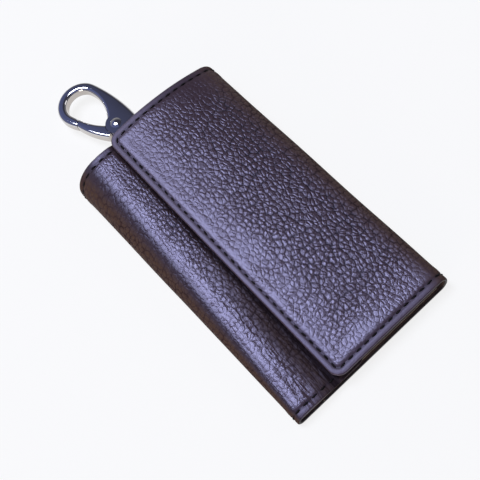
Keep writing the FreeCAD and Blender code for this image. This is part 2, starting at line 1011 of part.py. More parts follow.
eye_radius = dim("hook_eye_radius")
hook_wide = dim("hook_half_width")
hook_inner = hook_wide - dim("hook_wire")
hook_thick = dim("hook_thick")
neck_half = dim("hook_eye_width") / 2
loop_top = -dim("hook_neck")
loop_end = -dim("hook_length")
high_centre = loop_top - hook_wide
low_centre = loop_end + hook_wide
gap_top = high_centre - dim("gate_start")
gap_bottom = low_centre + dim("gate_end_room")
bore = dim("rod_radius") + dim("hook_fit")


def make_hook(label, x):
    shoulder_drop = square_root(hook_wide * hook_wide - neck_half * neck_half)
    neck_foot = high_centre + shoulder_drop
    slant = hook_wide * math.sqrt(0.5)
    inner_slant = hook_inner * math.sqrt(0.5)
    outline = [
        ((neck_half, 0), None),
        ((neck_half, neck_foot), (hook_wide, (slant, high_centre + slant))),
        ((hook_wide, high_centre), None),
        ((hook_wide, gap_top), None),
        ((hook_inner, gap_top), None),
        ((hook_inner, high_centre), (hook_inner, (inner_slant, high_centre + inner_slant))),
        ((0, high_centre + hook_inner), (hook_inner, (-inner_slant, high_centre + inner_slant))),
        ((-hook_inner, high_centre), None),
        ((-hook_inner, low_centre), (hook_inner, (-inner_slant, low_centre - inner_slant))),
        ((0, low_centre - hook_inner), (hook_inner, (inner_slant, low_centre - inner_slant))),
        ((hook_inner, low_centre), None),
        ((hook_inner, gap_bottom), None),
        ((hook_wide, gap_bottom), None),
        ((hook_wide, low_centre), (hook_wide, (slant, low_centre - slant))),
        ((0, loop_end), (hook_wide, (-slant, low_centre - slant))),
        ((-hook_wide, low_centre), None),
        ((-hook_wide, high_centre), (hook_wide, (-slant, high_centre + slant))),
        ((-neck_half, neck_foot), None),
        ((-neck_half, 0), None),
    ]
    flat = pad(label + "_loop", "XY_Plane", [outline], hook_thick, middle=True)
    eye = cylinder(label + "_eye", eye_radius, dim("hook_eye_width"))
    place(eye, -neck_half, 0, 0, (0, 1, 0), as_size(90))
    hole = cylinder(label + "_bore", bore, 2 * dim("hook_eye_width"))
    place(hole, -2 * neck_half, 0, 0, (0, 1, 0), as_size(90))
    hook = cut(label, fuse(label + "_solid", [flat, eye]), hole)
    place(hook, x, rod_along, rod_up)
    return hook


def make_gate(label, x):
    """The springy leaf behind the hook's gap, with a round root that it bends from."""
    half = dim("gate_wide") / 2
    centre = hook_inner - dim("gate_play") - half
    top = gap_top + dim("gate_lap")
    bottom = gap_bottom - dim("gate_lap")
    outline = [
        *half_circle((centre, top), half, (1, 0), (0, 1)),
        ((centre - half, top), None),
        ((centre - half, bottom), None),
        ((centre + half, bottom), None),
    ]
    gate = pad(label, "XY_Plane", [outline], dim("gate_thick"), middle=True)
    place(gate, x, rod_along, rod_up)
    return gate


hooks = [make_hook("key_hook_%d" % (number + 1), hook_across(number)) for number in range(HOOKS)]
gates = [make_gate("hook_gate_%d" % (number + 1), hook_across(number)) for number in range(HOOKS)]

# The strap: a strip folded round the clasp's eye, with its two ends riveted on the plate.


def at_clasp(thing):
    """Put a piece that was made about the clasp's eye in its place."""
    place(thing, 0, clasp_along, dim("clasp_up"), (0, 0, 1), yaw)
    return thing


strap = dim("strap_thick")
loop_inner = dim("eye_bar_radius") + dim("strap_eye_play")
loop_outer = loop_inner + strap
tail_bottom = plate_top + dim("head_play") / 2 - dim("clasp_up")
tail_middle = tail_bottom + strap
tail_top = tail_middle + strap
level_from = -dim("strap_level")
tail_end = -strap_back - dim("strap_tail")
crotch = level_from + strap

strap_outline = [
    *half_circle((0, 0), loop_outer, (0, -1), (1, 0)),
    ((0, loop_outer), None),
    ((-loop_inner, loop_outer), None),
    ((level_from, tail_top), None),
    ((tail_end, tail_top), None),
    ((tail_end, tail_bottom), None),
    ((level_from, tail_bottom), None),
]
strap_eye = [
    *half_circle((0, 0), loop_inner, (0, -1), (1, 0)),
    ((0, loop_inner), None),
    ((-loop_inner, loop_inner), None),
    ((crotch, tail_middle), None),
]
strap_strip = pad("strap_strip", "YZ_Plane", [strap_outline, strap_eye], dim("strap_width"), middle=True)
strap_hole = cylinder("strap_hole", post_hole, 4 * strap)
place(strap_hole, 0, -strap_back, tail_bottom - strap)
clasp_strap = at_clasp(cut("clasp_strap", strap_strip, strap_hole))

# The clasp's eye: a bar between two arms, and a post that the clasp's body turns on.

eye_half = dim("eye_inner_width") / 2
eye_out = eye_half + dim("eye_arm")
eye_far = dim("eye_reach") + dim("eye_front")
collar_end = eye_far + dim("collar_length")
swivel_end = collar_end + dim("swivel_length")
eye_frame_outline = straight(
    [
        (-eye_out, 0),
        (-eye_half, 0),
        (-eye_half, dim("eye_reach")),
        (eye_half, dim("eye_reach")),
        (eye_half, 0),
        (eye_out, 0),
        (eye_out, eye_far),
        (-eye_out, eye_far),
    ]
)
eye_frame = pad("eye_frame", "XY_Plane", [eye_frame_outline], dim("eye_thick"), middle=True)
eye_bar = cylinder("eye_bar", dim("eye_bar_radius"), 2 * eye_out)
place(eye_bar, -eye_out, 0, 0, (0, 1, 0), as_size(90))


def along_clasp(name, radius, start, end):
    """A round stretch on the clasp's long axis."""
    solid = cylinder(name, radius, as_size(end) - start)
    place(solid, 0, start, 0, (1, 0, 0), as_size(-90))
    return solid


collar = along_clasp("collar", dim("collar_radius"), eye_far - dim("eye_front") / 2, collar_end)
swivel_post = along_clasp("swivel_post", dim("swivel_radius"), eye_far, swivel_end)
swivel_head = along_clasp(
    "swivel_head", dim("swivel_head_radius"), swivel_end - dim("swivel_head_length"), swivel_end
)
clasp_eye = fuse("clasp_eye", [eye_frame, eye_bar, collar, swivel_post, swivel_head])
clasp_eye.Label = "clasp_eye"
at_clasp(clasp_eye)

# The clasp's body: a socket on the swivel post, a block round the trigger's pivot,
# one arm, and the round end that comes back to the parting with the trigger.

play = dim("swivel_fit")
pivot_x = dim("pivot_side")
block_start = collar_end + dim("block_gap")
pivot_y = block_start + dim("pivot_from_block")
block = dim("pivot_block_radius")
block_half = dim("block_half_width")
ring_y = pivot_y + dim("ring_from_pivot")
parting_y = ring_y - dim("parting_from_ring")
ring_outer = dim("ring_outer_radius")
ring_inner = dim("ring_inner_radius")
clasp_thick = dim("clasp_thick")


def about_pivot(radius, x):
    """The point above the pivot on a circle about it, at a place across the clasp."""
    from_pivot = x - pivot_x
    return (x, pivot_y + square_root(radius * radius - from_pivot * from_pivot))


def leaning_left(radius, lean):
    """The point on a circle about the pivot, turned left from straight above it."""
    return (pivot_x - radius * sine(lean), pivot_y + radius * cosine(lean))


throat = leaning_left(block, dim("throat_lean"))
block_left = (pivot_x - block, pivot_y)
slant = block * math.sqrt(0.5)
parting_outer = (-dim("parting_outer"), parting_y)
parting_side = parting_outer[0] - pivot_x
parting_rise = parting_outer[1] - pivot_y
parting_reach = square_root(parting_side * parting_side + parting_rise * parting_rise)
parting_inner = about_pivot(parting_reach, -ring_inner)
left_outer = (-ring_outer, ring_y)
right_outer = (ring_outer, ring_y)
left_inner = (-ring_inner, ring_y)
right_inner = (ring_inner, ring_y)
block_right = (block_half, block_start)


def turn_to_ring(point, on_ring):
    """Half the turn of an arc from a point that meets the ring smoothly at its side."""
    return arctangent((on_ring[0] - point[0]) / (on_ring[1] - point[1]))


nose_turn = turn_to_ring(parting_outer, left_outer)
arm_outer_turn = turn_to_ring(block_right, right_outer)
arm_inner_turn = turn_to_ring(throat, right_inner)

body_outline = [
    (parting_outer, bow(parting_outer, left_outer, -nose_turn, 1)),
    *half_circle((0, ring_y), ring_outer, (-1, 0), (0, 1)),
    (right_outer, bow(right_outer, block_right, arm_outer_turn, 1)),
    (block_right, None),
    ((pivot_x - block, block_start), None),
    (block_left, (block, (pivot_x - slant, pivot_y + slant))),
    (throat, bow(throat, right_inner, arm_inner_turn, -1)),
    *half_circle((0, ring_y), ring_inner, (1, 0), (0, 1)),
    (left_inner, None),
    (parting_inner, None),
]
body_plate = pad("body_plate", "XY_Plane", [body_outline], clasp_thick, middle=True)
round_rims(body_plate, clasp_thick, pivot_y + block, dim("edge_round"))

socket_start = collar_end + play
socket_end = collar_end + dim("socket_length")
body_socket = along_clasp("body_socket", dim("socket_radius"), socket_start, socket_end)
body_solid = fuse("body_solid", [body_plate, body_socket])
slot = cylinder("trigger_slot", block + dim("trigger_play"), dim("trigger_slot"))
place(slot, pivot_x, pivot_y, -dim("trigger_slot") / 2)
pin_bore = cylinder("pin_bore", dim("pin_radius") + dim("pin_fit"), 2 * clasp_thick)
place(pin_bore, pivot_x, pivot_y, -clasp_thick)
post_bore = along_clasp("post_bore", dim("swivel_radius") + play, collar_end - play, swivel_end)
head_bore = along_clasp(
    "head_bore",
    dim("swivel_head_radius") + play,
    swivel_end - dim("swivel_head_length") - play,
    swivel_end + play,
)
clasp_body = at_clasp(
    cut("clasp_body", body_solid, fuse("body_cuts", [slot, pin_bore, post_bore, head_bore]))
)

# The trigger: a hub in the body's slot, and an arm of full thickness from there to the parting.

trigger_play = dim("trigger_play")
clear = block + trigger_play
hub_radius = block - trigger_play
tip_reach = parting_reach - trigger_play
tip_inner = about_pivot(tip_reach, -ring_inner)
tip_outer = about_pivot(tip_reach, -dim("parting_outer"))
root_lean = dim("throat_lean") + dim("trigger_travel")
trigger_throat = leaning_left(clear, root_lean)
tab_drop = dim("trigger_tab_drop")
tab = (dim("trigger_tab_side"), pivot_y - tab_drop)
tab_inner = (pivot_x - square_root(clear * clear - tab_drop * tab_drop), tab[1])
clear_slant = clear * math.sqrt(0.5)

arm_outline = [
    (tip_inner, bow(tip_inner, trigger_throat, dim("trigger_inner_bow"), -1)),
    (trigger_throat, (clear, (pivot_x - clear_slant, pivot_y + clear_slant))),
    (tab_inner, None),
    (tab, bow(tab, tip_outer, dim("trigger_outer_bow"), 1)),
    (tip_outer, None),
]
arm = pad("trigger_arm", "XY_Plane", [arm_outline], clasp_thick, middle=True)
round_rims(arm, clasp_thick, pivot_y + block, dim("trigger_round"))
hub_reach = clear + dim("trigger_reach")
hub_slant = hub_reach * math.sqrt(0.5)
hub_throat = leaning_left(hub_reach, root_lean)
hub_left = (pivot_x - hub_reach, pivot_y)
hub_outline = [
    (hub_throat, (hub_reach, (pivot_x - hub_slant, pivot_y + hub_slant))),
    (hub_left, None),
    *half_circle((pivot_x, pivot_y), hub_radius, (0, -1), (1, 0)),
    ((pivot_x, pivot_y + hub_radius), None),
]
hub_shift = -dim("trigger_slot") / 2 + trigger_play / 2
hub = pad("trigger_hub", "XY_Plane", [hub_outline], dim("trigger_hub_thick"), offset=hub_shift)
trigger_bore = cylinder("trigger_bore", dim("pin_radius") + dim("pin_fit"), 2 * clasp_thick)
place(trigger_bore, pivot_x, pivot_y, -clasp_thick)
clasp_trigger = at_clasp(cut("clasp_trigger", fuse("trigger_solid", [arm, hub]), trigger_bore))

pin_half = clasp_thick / 2 + dim("head_play") / 2
pin_head = dim("pin_head_radius")
pin_rise = dim("pin_head_rise")
pin_foot = (as_size(0), -pin_half - pin_rise)
pin_foot_rim = (pin_head, -pin_half)
trigger_pin_body = spin(
    "trigger_pin_body",
    [
        (pin_foot, bow(pin_foot, pin_foot_rim, arctangent(pin_rise / pin_head), -1)),
        (pin_foot_rim, None),
        ((dim("pin_radius"), -pin_half), None),
        ((dim("pin_radius"), pin_half), None),
    ]
    + dome(pin_head, pin_half, pin_rise),
)
place(trigger_pin_body, pivot_x, pivot_y, 0)
trigger_pin = at_clasp(group("trigger_pin", [trigger_pin_body]))

# The trigger's spring: a small coil of square wire round the rivet, beside the hub in the slot.


def make_spring():
    wire = dim("spring_wire").value
    play_value = dim("spring_play").value
    coil = dim("pin_radius").value + play_value + wire / 2
    bottom = hub_shift.value + dim("trigger_hub_thick").value + play_value + wire / 2
    top = dim("trigger_slot").value / 2 - play_value - wire / 2
    turns = dim("spring_turns").value
    pitch = (top - bottom) / turns
    helix = Part.makeHelix(pitch, top - bottom, coil)
    half = wire / 2
    corners = [(-half, -half), (half, -half), (half, half), (-half, half), (-half, -half)]
    section = Part.makePolygon([FreeCAD.Vector(coil + across, 0, up) for across, up in corners])
    tube = Part.Wire(helix.Edges).makePipeShell([section], True, True)
    return tube, bottom


spring_coil = doc.addObject("Part::Feature", "spring_coil")
spring_coil.Shape, spring_bottom = make_spring()
spring_coil.Placement.Base = FreeCAD.Vector(pivot_x.value, pivot_y.value, spring_bottom)
trigger_spring = at_clasp(group("trigger_spring", [spring_coil]))

doc.recompute()

SUBPARTS = [
    back_leather,
    back_board,
    back_lining,
    left_spine_leather,
    left_spine_lining,
    right_spine_leather,
    right_spine_lining,
    wing_leather,
    wing_lining,
    flap_leather,
    flap_lining,
    snap_studs,
    snap_stud_backs,
    snap_sockets,
    snap_caps,
    hook_plate,
    hook_rod,
    plate_rivets,
    strap_rivet,
    clasp_strap,
    clasp_eye,
    clasp_body,
    clasp_trigger,
    trigger_pin,
    trigger_spring,
] + hooks + gates

for thing in doc.Objects:
    if "Invalid" in thing.State or "Error" in thing.State:
        raise RuntimeError("%s failed: %s" % (thing.Label, thing.getStatusString()))
for subpart in SUBPARTS:
    if subpart.Shape.isNull() or not subpart.Shape.isValid() or not subpart.Shape.Solids:
        raise RuntimeError("%s has no valid shape" % subpart.Label)

os.makedirs("parts", exist_ok=True)
for subpart in SUBPARTS:
    subpart.Shape.exportStep("parts/%s.step" % subpart.Label)
print("%d sub-parts written" % len(SUBPARTS))
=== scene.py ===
# %% [markdown]
# A folded leather key case with a trigger clasp
#
# The case is one long strip of pebbled leather, folded round a row of key hooks: a back underneath, an
# inner wing on the left and an outer flap on top. This lesson dresses a plain, jointed model of it. The
# hard pieces keep their shape and get a finish. The leather, the lining, the strap and the thread are
# modelled anew here.

# %% Load the jointed model as the frame
import json
import math

import bmesh
import bpy
import numpy as np
from mathutils import Matrix, Vector


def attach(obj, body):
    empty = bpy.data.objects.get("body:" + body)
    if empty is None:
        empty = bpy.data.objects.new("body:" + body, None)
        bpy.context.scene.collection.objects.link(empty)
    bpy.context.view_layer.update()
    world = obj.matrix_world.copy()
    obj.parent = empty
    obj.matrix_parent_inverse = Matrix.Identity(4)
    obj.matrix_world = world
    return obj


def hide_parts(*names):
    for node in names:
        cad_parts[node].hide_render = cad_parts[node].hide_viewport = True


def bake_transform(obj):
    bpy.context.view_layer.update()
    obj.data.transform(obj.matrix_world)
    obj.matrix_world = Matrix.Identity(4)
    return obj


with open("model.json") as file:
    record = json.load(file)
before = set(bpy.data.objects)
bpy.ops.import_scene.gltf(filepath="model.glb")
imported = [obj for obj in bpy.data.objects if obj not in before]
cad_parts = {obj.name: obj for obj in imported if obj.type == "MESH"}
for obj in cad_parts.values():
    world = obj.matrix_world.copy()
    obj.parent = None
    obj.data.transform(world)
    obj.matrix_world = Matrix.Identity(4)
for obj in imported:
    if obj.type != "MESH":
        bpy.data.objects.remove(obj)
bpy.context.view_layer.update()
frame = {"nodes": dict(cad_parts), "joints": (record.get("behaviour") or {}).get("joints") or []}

MM = 0.001
node_objects = frame["nodes"]
joints = {joint["name"]: joint for joint in frame["joints"]}
scene = bpy.context.scene


def new_object(name, data):
    """A new object that is linked to the scene."""
    thing = bpy.data.objects.new(name, data)
    scene.collection.objects.link(thing)
    return thing


print("nodes:", len(node_objects), "joints:", len(joints))

# %% [markdown]
# The camera
#
# The photograph was taken from above and in front, with the camera turned about its own line of sight, so
# that the case lies along a diagonal. A camera that is aimed at a point and then rolled says this most
# plainly.

# %% Aim and roll the camera
CAMERA_AT = Vector((-0.03723, -0.16299, 0.32332))
CAMERA_LOOKS_AT = Vector((-0.004595, 0.000042, 0.008))
CAMERA_ROLL = math.radians(-32.95)
SENSOR_WIDTH = 36.0
LENS = 83.47

camera_data = bpy.data.cameras.new("photo_camera")
camera_data.sensor_width = SENSOR_WIDTH
camera_data.lens = LENS
camera = new_object("photo_camera", camera_data)
sight = (CAMERA_LOOKS_AT - CAMERA_AT).normalized()
upright = sight.to_track_quat("-Z", "Y").to_matrix().to_4x4()
camera.matrix_world = Matrix.Translation(CAMERA_AT) @ upright @ Matrix.Rotation(CAMERA_ROLL, 4, "Z")
scene.camera = camera
scene.view_settings.view_transform = "Standard"
print("camera is", round((CAMERA_LOOKS_AT - CAMERA_AT).length / MM), "mm away")

# %% [markdown]
# Materials from nodes
#
# Every finish below is a node tree. A few small helpers keep the trees readable: they make a material, add
# a node, set or link its inputs, and write a sum, a range, a blend or a noise in one line each.


# %% Helpers for node trees
def new_finish(name):
    """A new material with its tree and its shader."""
    finish = bpy.data.materials.new(name)
    finish.use_nodes = True
    tree = finish.node_tree
    return finish, tree, tree.nodes["Principled BSDF"]


def feed(tree, socket, value):
    """Links an output to a socket, or sets a plain value on it."""
    if isinstance(value, bpy.types.NodeSocket):
        tree.links.new(value, socket)
    else:
        socket.default_value = value


def add(tree, kind, inputs=None, **settings):
    """A node of a kind, with settings and inputs by name or number."""
    node = tree.nodes.new(kind)
    for key, value in settings.items():
        setattr(node, key, value)
    for key, value in (inputs or {}).items():
        feed(tree, node.inputs[key], value)
    return node


# %% Blends, ranges, sums and noise
def blend_colours(tree, factor, low, high):
    """A colour that goes from low to high with a factor: 6, 7 and 2 are the Mix node's colour sockets."""
    return add(tree, "ShaderNodeMix", {0: factor, 6: low, 7: high}, data_type="RGBA").outputs[2]


def ranged(tree, value, low, high, to_low=0.0, to_high=1.0):
    """A value that is mapped smoothly from one range to another."""
    limits = {"From Min": low, "From Max": high, "To Min": to_low, "To Max": to_high}
    node = add(tree, "ShaderNodeMapRange", {"Value": value, **limits}, interpolation_type="SMOOTHSTEP")
    return node.outputs["Result"]


def reckon(tree, operation, first, *others):
    """One kind of sum over two or more values, from left to right."""
    for other in others:
        first = add(tree, "ShaderNodeMath", {0: first, 1: other}, operation=operation).outputs[0]
    return first


def reckon_vectors(tree, operation, first, second):
    """One sum of two vectors."""
    return add(tree, "ShaderNodeVectorMath", {0: first, 1: second}, operation=operation).outputs[0]


def noise(tree, place, scale, detail=2.0, rough=0.5, output="Fac"):
    """Soft random spots of a size."""
    inputs = {"Vector": place, "Scale": scale, "Detail": detail, "Roughness": rough}
    return add(tree, "ShaderNodeTexNoise", inputs).outputs[output]


def bumped(tree, height, depth):
    """The normals of a relief of a depth in metres."""
    node = add(tree, "ShaderNodeBump", {"Height": height, "Distance": depth, "Strength": 1.0})
    return node.outputs["Normal"]


def dress(tree, shader, **values):
    """Sets or links the shader's own sockets."""
    for key, value in values.items():
        feed(tree, shader.inputs[key.replace("_", " ")], value)


# %% [markdown]
# Floor and light
#
# The photograph is cut out on white. A pale floor gives that without more light on the leather: to the
# camera it is mostly a white glow, and the rest is a plain diffuse surface that still takes the shadow. A
# wide soft lamp beyond the far end makes the cool sheen on the flap, a weaker warm one fills in the left
# side, and a faint one the right. The sky is palest at the horizon. Higher up it is blue on the left and
# nearly dark on the right, which is what the chrome of the clasp mirrors.

# %% Floor
FLOOR_REACH = 12.0
FLOOR_LEVEL = -0.1 * MM
FLOOR_CORNERS = ((-1, -1), (1, -1), (1, 1), (-1, 1))
GLOW_SHARE = 0.82
SEEING_RAYS = ("Is Camera Ray", "Is Glossy Ray", "Is Transmission Ray")

floor_finish, floor_tree, floor_shader = new_finish("pale_floor")
dress(floor_tree, floor_shader, Base_Color=(0.86, 0.86, 0.87, 1.0), Roughness=0.9)
rays = add(floor_tree, "ShaderNodeLightPath").outputs
seen = reckon(floor_tree, "MAXIMUM", *(rays[kind] for kind in SEEING_RAYS))
glow_part = reckon(floor_tree, "MULTIPLY", seen, GLOW_SHARE)
glow = add(floor_tree, "ShaderNodeEmission", {"Color": (1.0, 1.0, 1.0, 1.0), "Strength": 1.0}).outputs[0]
floor_mix = add(floor_tree, "ShaderNodeMixShader", {0: glow_part, 1: floor_shader.outputs[0], 2: glow})
feed(floor_tree, floor_tree.nodes["Material Output"].inputs["Surface"], floor_mix.outputs[0])

floor_mesh = bpy.data.meshes.new("floor")
floor_points = [(x * FLOOR_REACH, y * FLOOR_REACH, FLOOR_LEVEL) for x, y in FLOOR_CORNERS]
floor_mesh.from_pydata(floor_points, [], [(0, 1, 2, 3)])
floor_mesh.materials.append(floor_finish)
floor = new_object("floor", floor_mesh)
print("made the floor,", 2 * FLOOR_REACH, "m wide")

# %% Lamps and sky
LAMPS_FACE = Vector((0.0, 0.0, 0.01))
HORIZON = (0.30, 0.29, 0.29, 1.0)
LEFT_SKY = (0.100, 0.118, 0.255, 1.0)
RIGHT_SKY = (0.042, 0.042, 0.064, 1.0)


def soft_lamp(name, at, size, power, colour, turn=0.0):
    """An oblong lamp that faces the object, turned about its own line."""
    data = bpy.data.lights.new(name, "AREA")
    data.shape = "RECTANGLE"
    data.size, data.size_y = size
    data.energy = power
    data.color = colour
    lamp = new_object(name, data)
    facing = (LAMPS_FACE - Vector(at)).to_track_quat("-Z", "Y").to_matrix().to_4x4()
    lamp.matrix_world = Matrix.Translation(at) @ facing @ Matrix.Rotation(math.radians(turn), 4, "Z")


soft_lamp("window_lamp", (-0.100, 0.295, 0.96), (0.32, 0.60), 8.0, (0.86, 0.90, 1.0), turn=14.0)
soft_lamp("left_lamp", (-0.80, -0.40, 0.16), (0.35, 0.35), 3.0, (1.0, 0.86, 0.70))
soft_lamp("right_lamp", (0.75, -0.30, 0.45), (0.40, 0.40), 0.6, (1.0, 0.97, 0.94))

world = bpy.data.worlds.new("studio")
scene.world = world
world.use_nodes = True
world_tree = world.node_tree
sky_way = add(world_tree, "ShaderNodeTexCoord").outputs["Generated"]
sky_parts = add(world_tree, "ShaderNodeSeparateXYZ", {"Vector": sky_way}).outputs
high_sky = blend_colours(world_tree, ranged(world_tree, sky_parts["X"], 0.02, 0.12), LEFT_SKY, RIGHT_SKY)
sky_colour = blend_colours(world_tree, ranged(world_tree, sky_parts["Z"], 0.0, 0.7), HORIZON, high_sky)
feed(world_tree, world_tree.nodes["Background"].inputs["Color"], sky_colour)

# %% [markdown]
# Pebbled leather
#
# The hide is embossed with rounded pebbles about 1.5 mm across, with grooves between them whose darker tone
# is painted shade, and a thin pearly dressing that shines violet where it faces the light. Cells of a
# Voronoi texture give the pebbles, read from the sheet's own flat map, so that they run on over the folds.
# A picture of leather could be wrapped on instead, but it would blur in a close view and show its seams.
# What changes from place to place comes from float attributes on the sheet's points: border where the
# sewing has pressed the grain flat, seam which paints shade in the stitch groove and in bands on the wing,
# worn where hands have smoothed the grain, a note for where the dressing has gone dull, which also paints a
# warm light on the sides, and creased where bending has wrinkled it.

# %% Sizes of the grain: counts for each metre of the flat map, and depths in metres
PEBBLES = 650.0
BEADS = 1700.0
PORES = 4200.0
CREASES = 800.0
CLOUDS = 75.0
WANDERING = 260.0
WANDER_REACH = (1.6 * MM, 1.6 * MM, 1.6 * MM)
PEBBLE_STRETCH = (1.0, 0.84, 1.0)
PEBBLE_DISORDER = 0.85
CREASE_STRETCH = (1.0, 0.13, 1.0)
GRAIN_DEPTH = 0.24 * MM
PORE_SHARE = 0.08
# How much of the grain wear and sewing take away, what makes the leather duller, and how much shine goes.
WORN_AWAY = 0.74
PRESSED_FLAT = 0.70
BORDER_DULLS = 0.12
MATT_DULLS = 0.28
SHINE_LOST = 0.96
NOTES = ("border", "seam", "worn", "matt", "creased")
print("pebbles about", round(1 / PEBBLES / MM, 1), "mm across")


# %% The pebbles
def cell_distance(tree, place, count, randomness, feature, smoothness=None):
    """The distance to the edge or to the middle of random cells."""
    inputs = {"Vector": place, "Scale": count, "Randomness": randomness}
    cells = add(tree, "ShaderNodeTexVoronoi", inputs, voronoi_dimensions="2D", feature=feature)
    if smoothness:
        cells.inputs["Smoothness"].default_value = smoothness
    return cells.outputs["Distance"]


def pebble_grain(tree, flat):
    """The height of the grain, from 0 in a groove to 1 on top of a pebble."""
    wander = noise(tree, flat, WANDERING, 1.0, output="Color")
    wander = reckon_vectors(tree, "SUBTRACT", wander, (0.5, 0.5, 0.5))
    wander = reckon_vectors(tree, "MULTIPLY", wander, WANDER_REACH)
    place = reckon_vectors(tree, "ADD", reckon_vectors(tree, "MULTIPLY", flat, PEBBLE_STRETCH), wander)
    to_edge = cell_distance(tree, place, PEBBLES, PEBBLE_DISORDER, "DISTANCE_TO_EDGE")
    to_middle = cell_distance(tree, place, PEBBLES, PEBBLE_DISORDER, "SMOOTH_F1", 0.6)
    to_bead = cell_distance(tree, place, BEADS, 1.0, "SMOOTH_F1", 0.8)
    ridges = ranged(tree, to_edge, 0.0, 0.21)
    crowns = ranged(tree, to_middle, 0.8, 0.0)
    fine = ranged(tree, to_bead, 0.7, 0.0)
    shares = ((ridges, 0.32), (crowns, 0.48), (fine, 0.20))
    return reckon(tree, "ADD", *(reckon(tree, "MULTIPLY", layer, share) for layer, share in shares))


# %% The pebbled leather
def pebbled_leather(name, groove, pebble, cloud, warm_lit_and_rubbed, painted_shade_tone):
    """Leather with pressed pebbles, which the notes on its points wear, flatten and dull, and on which they
    paint shade and a warm side light.
    """
    finish, tree, shader = new_finish(name)
    flat = add(tree, "ShaderNodeTexCoord").outputs["UV"]
    note = {key: add(tree, "ShaderNodeAttribute", attribute_name=key).outputs["Fac"] for key in NOTES}

    def part(value, share):
        """A share of a value."""
        return reckon(tree, "MULTIPLY", value, share)

    def without(value, taken):
        """What is left of a value."""
        return reckon(tree, "SUBTRACT", value, taken)

    grain = pebble_grain(tree, flat)
    clouds = noise(tree, flat, CLOUDS)
    pores = part(noise(tree, flat, PORES, 3.0), PORE_SHARE)
    folds = noise(tree, reckon_vectors(tree, "MULTIPLY", flat, CREASE_STRETCH), CREASES)
    creases = part(ranged(tree, folds, 0.3, 0.7, -1.0, 0.0), note["creased"])
    even = without(ranged(tree, clouds, 0.3, 0.75, 1.0, 0.7), part(note["worn"], WORN_AWAY))
    unpressed = without(1.0, part(note["border"], PRESSED_FLAT))
    relief = part(part(without(grain, 1.0), even), unpressed)
    tops = reckon(tree, "ADD", relief, 1.0)

    tone = blend_colours(tree, ranged(tree, clouds, 0.35, 0.7), pebble, cloud)
    # Painted shade: the grooves between the pebbles take a darker tone.
    colour = blend_colours(tree, ranged(tree, tops, 0.15, 0.6), groove, tone)
    # Painted warm light: the sides' note lays a lighter, warmer brown on the pebble tops.
    rubbed_and_warm_lit_tops = part(note["matt"], ranged(tree, grain, 0.15, 0.85, 0.35, 1.0))
    rubbed_and_warm_lit_colour = blend_colours(tree, rubbed_and_warm_lit_tops, colour, warm_lit_and_rubbed)
    # Painted shade: the seam note darkens the colour towards a near-black tone.
    dress(tree, shader, Base_Color=blend_colours(tree, note["seam"], rubbed_and_warm_lit_colour, painted_shade_tone))

    dulled = (part(note["border"], BORDER_DULLS), part(note["matt"], MATT_DULLS))
    dull = reckon(tree, "ADD", ranged(tree, tops, 0.2, 0.7, 0.42, 0.29), pores, *dulled)
    shine = ranged(tree, tops, 0.2, 0.7, 0.46, 0.98)
    shine_left = without(1.0, part(reckon(tree, "MAXIMUM", note["matt"], note["seam"]), SHINE_LOST))
    dress(tree, shader, Roughness=dull, Specular_IOR_Level=part(shine, shine_left))
    height = reckon(tree, "ADD", tops, creases, pores)
    dress(tree, shader, Normal=bumped(tree, height, GRAIN_DEPTH))
    dress(tree, shader, IOR=1.55, Specular_Tint=(0.64, 0.63, 1.0, 1.0))
    return finish


hide = pebbled_leather(
    "pebbled_hide",
    # Painted shade: the grooves' darker tone.
    groove=(0.010, 0.005, 0.007, 1.0),
    pebble=(0.048, 0.027, 0.032, 1.0),
    cloud=(0.041, 0.022, 0.025, 1.0),
    # Painted warm light: the lighter, warmer brown laid on the sides.
    warm_lit_and_rubbed=(0.074, 0.043, 0.031, 1.0),
    # Painted shade: the near-black tone of the seam note.
    painted_shade_tone=(0.010, 0.006, 0.008, 1.0),
)
print("made", hide.name)

# %% [markdown]
# The other soft finishes
#
# The lower half of each leather piece's cut rim carries a dark brown edge paint, which also paints the
# shade under the edge, its inner side is bare suede, the lining is a thin smooth skin with a faint fine
# grain, and the thread is waxed and nearly black. One function makes them all: two near tones in slow
# spots, and fine fibres for the relief and the dullness.

# %% Edge paint, suede, lining, strap leather and thread
DULL_RANGE = 0.08


def mottled(name, low, high, spot, dull, relief, fine=2600.0, map_name="UV", gloss=0.5):
    """A soft finish of two near tones, with a fine relief of a depth in millimetres."""
    finish, tree, shader = new_finish(name)
    place = add(tree, "ShaderNodeTexCoord").outputs[map_name]
    clouds = noise(tree, place, spot, 3.0)
    fibres = noise(tree, place, fine, 3.0, 0.6)
    colour = blend_colours(tree, ranged(tree, clouds, 0.3, 0.7), low, high)
    roughness = ranged(tree, fibres, 0.3, 0.7, dull - DULL_RANGE, dull + DULL_RANGE)
    dress(tree, shader, Base_Color=colour, Roughness=roughness, Specular_IOR_Level=gloss)
    dress(tree, shader, Normal=bumped(tree, fibres, relief * MM))
    return finish


# Partly painted shade: this dark edge paint lies on the rim's lower half and stands in for the shade under
# the edge too.
edge_paint = mottled("edge_paint", (0.012, 0.008, 0.009, 1), (0.028, 0.019, 0.020, 1), 300.0, 0.45, 0.04)
suede = mottled("suede_side", (0.060, 0.036, 0.030, 1), (0.095, 0.060, 0.050, 1), 160.0, 0.92, 0.12)
lining_skin = mottled(
    "lining_skin", (0.040, 0.026, 0.026, 1), (0.058, 0.038, 0.037, 1), 120.0, 0.60, 0.08, fine=1900.0
)
strap_hide = mottled(
    "strap_hide", (0.040, 0.025, 0.030, 1), (0.062, 0.041, 0.048, 1), 220.0, 0.50, 0.10, fine=1500.0
)
thread = mottled(
    "waxed_thread",
    (0.003, 0.002, 0.003, 1),
    (0.008, 0.006, 0.008, 1),
    spot=900.0,
    dull=0.6,
    relief=0.05,
    fine=3200.0,
    map_name="Object",
    gloss=0.12,
)
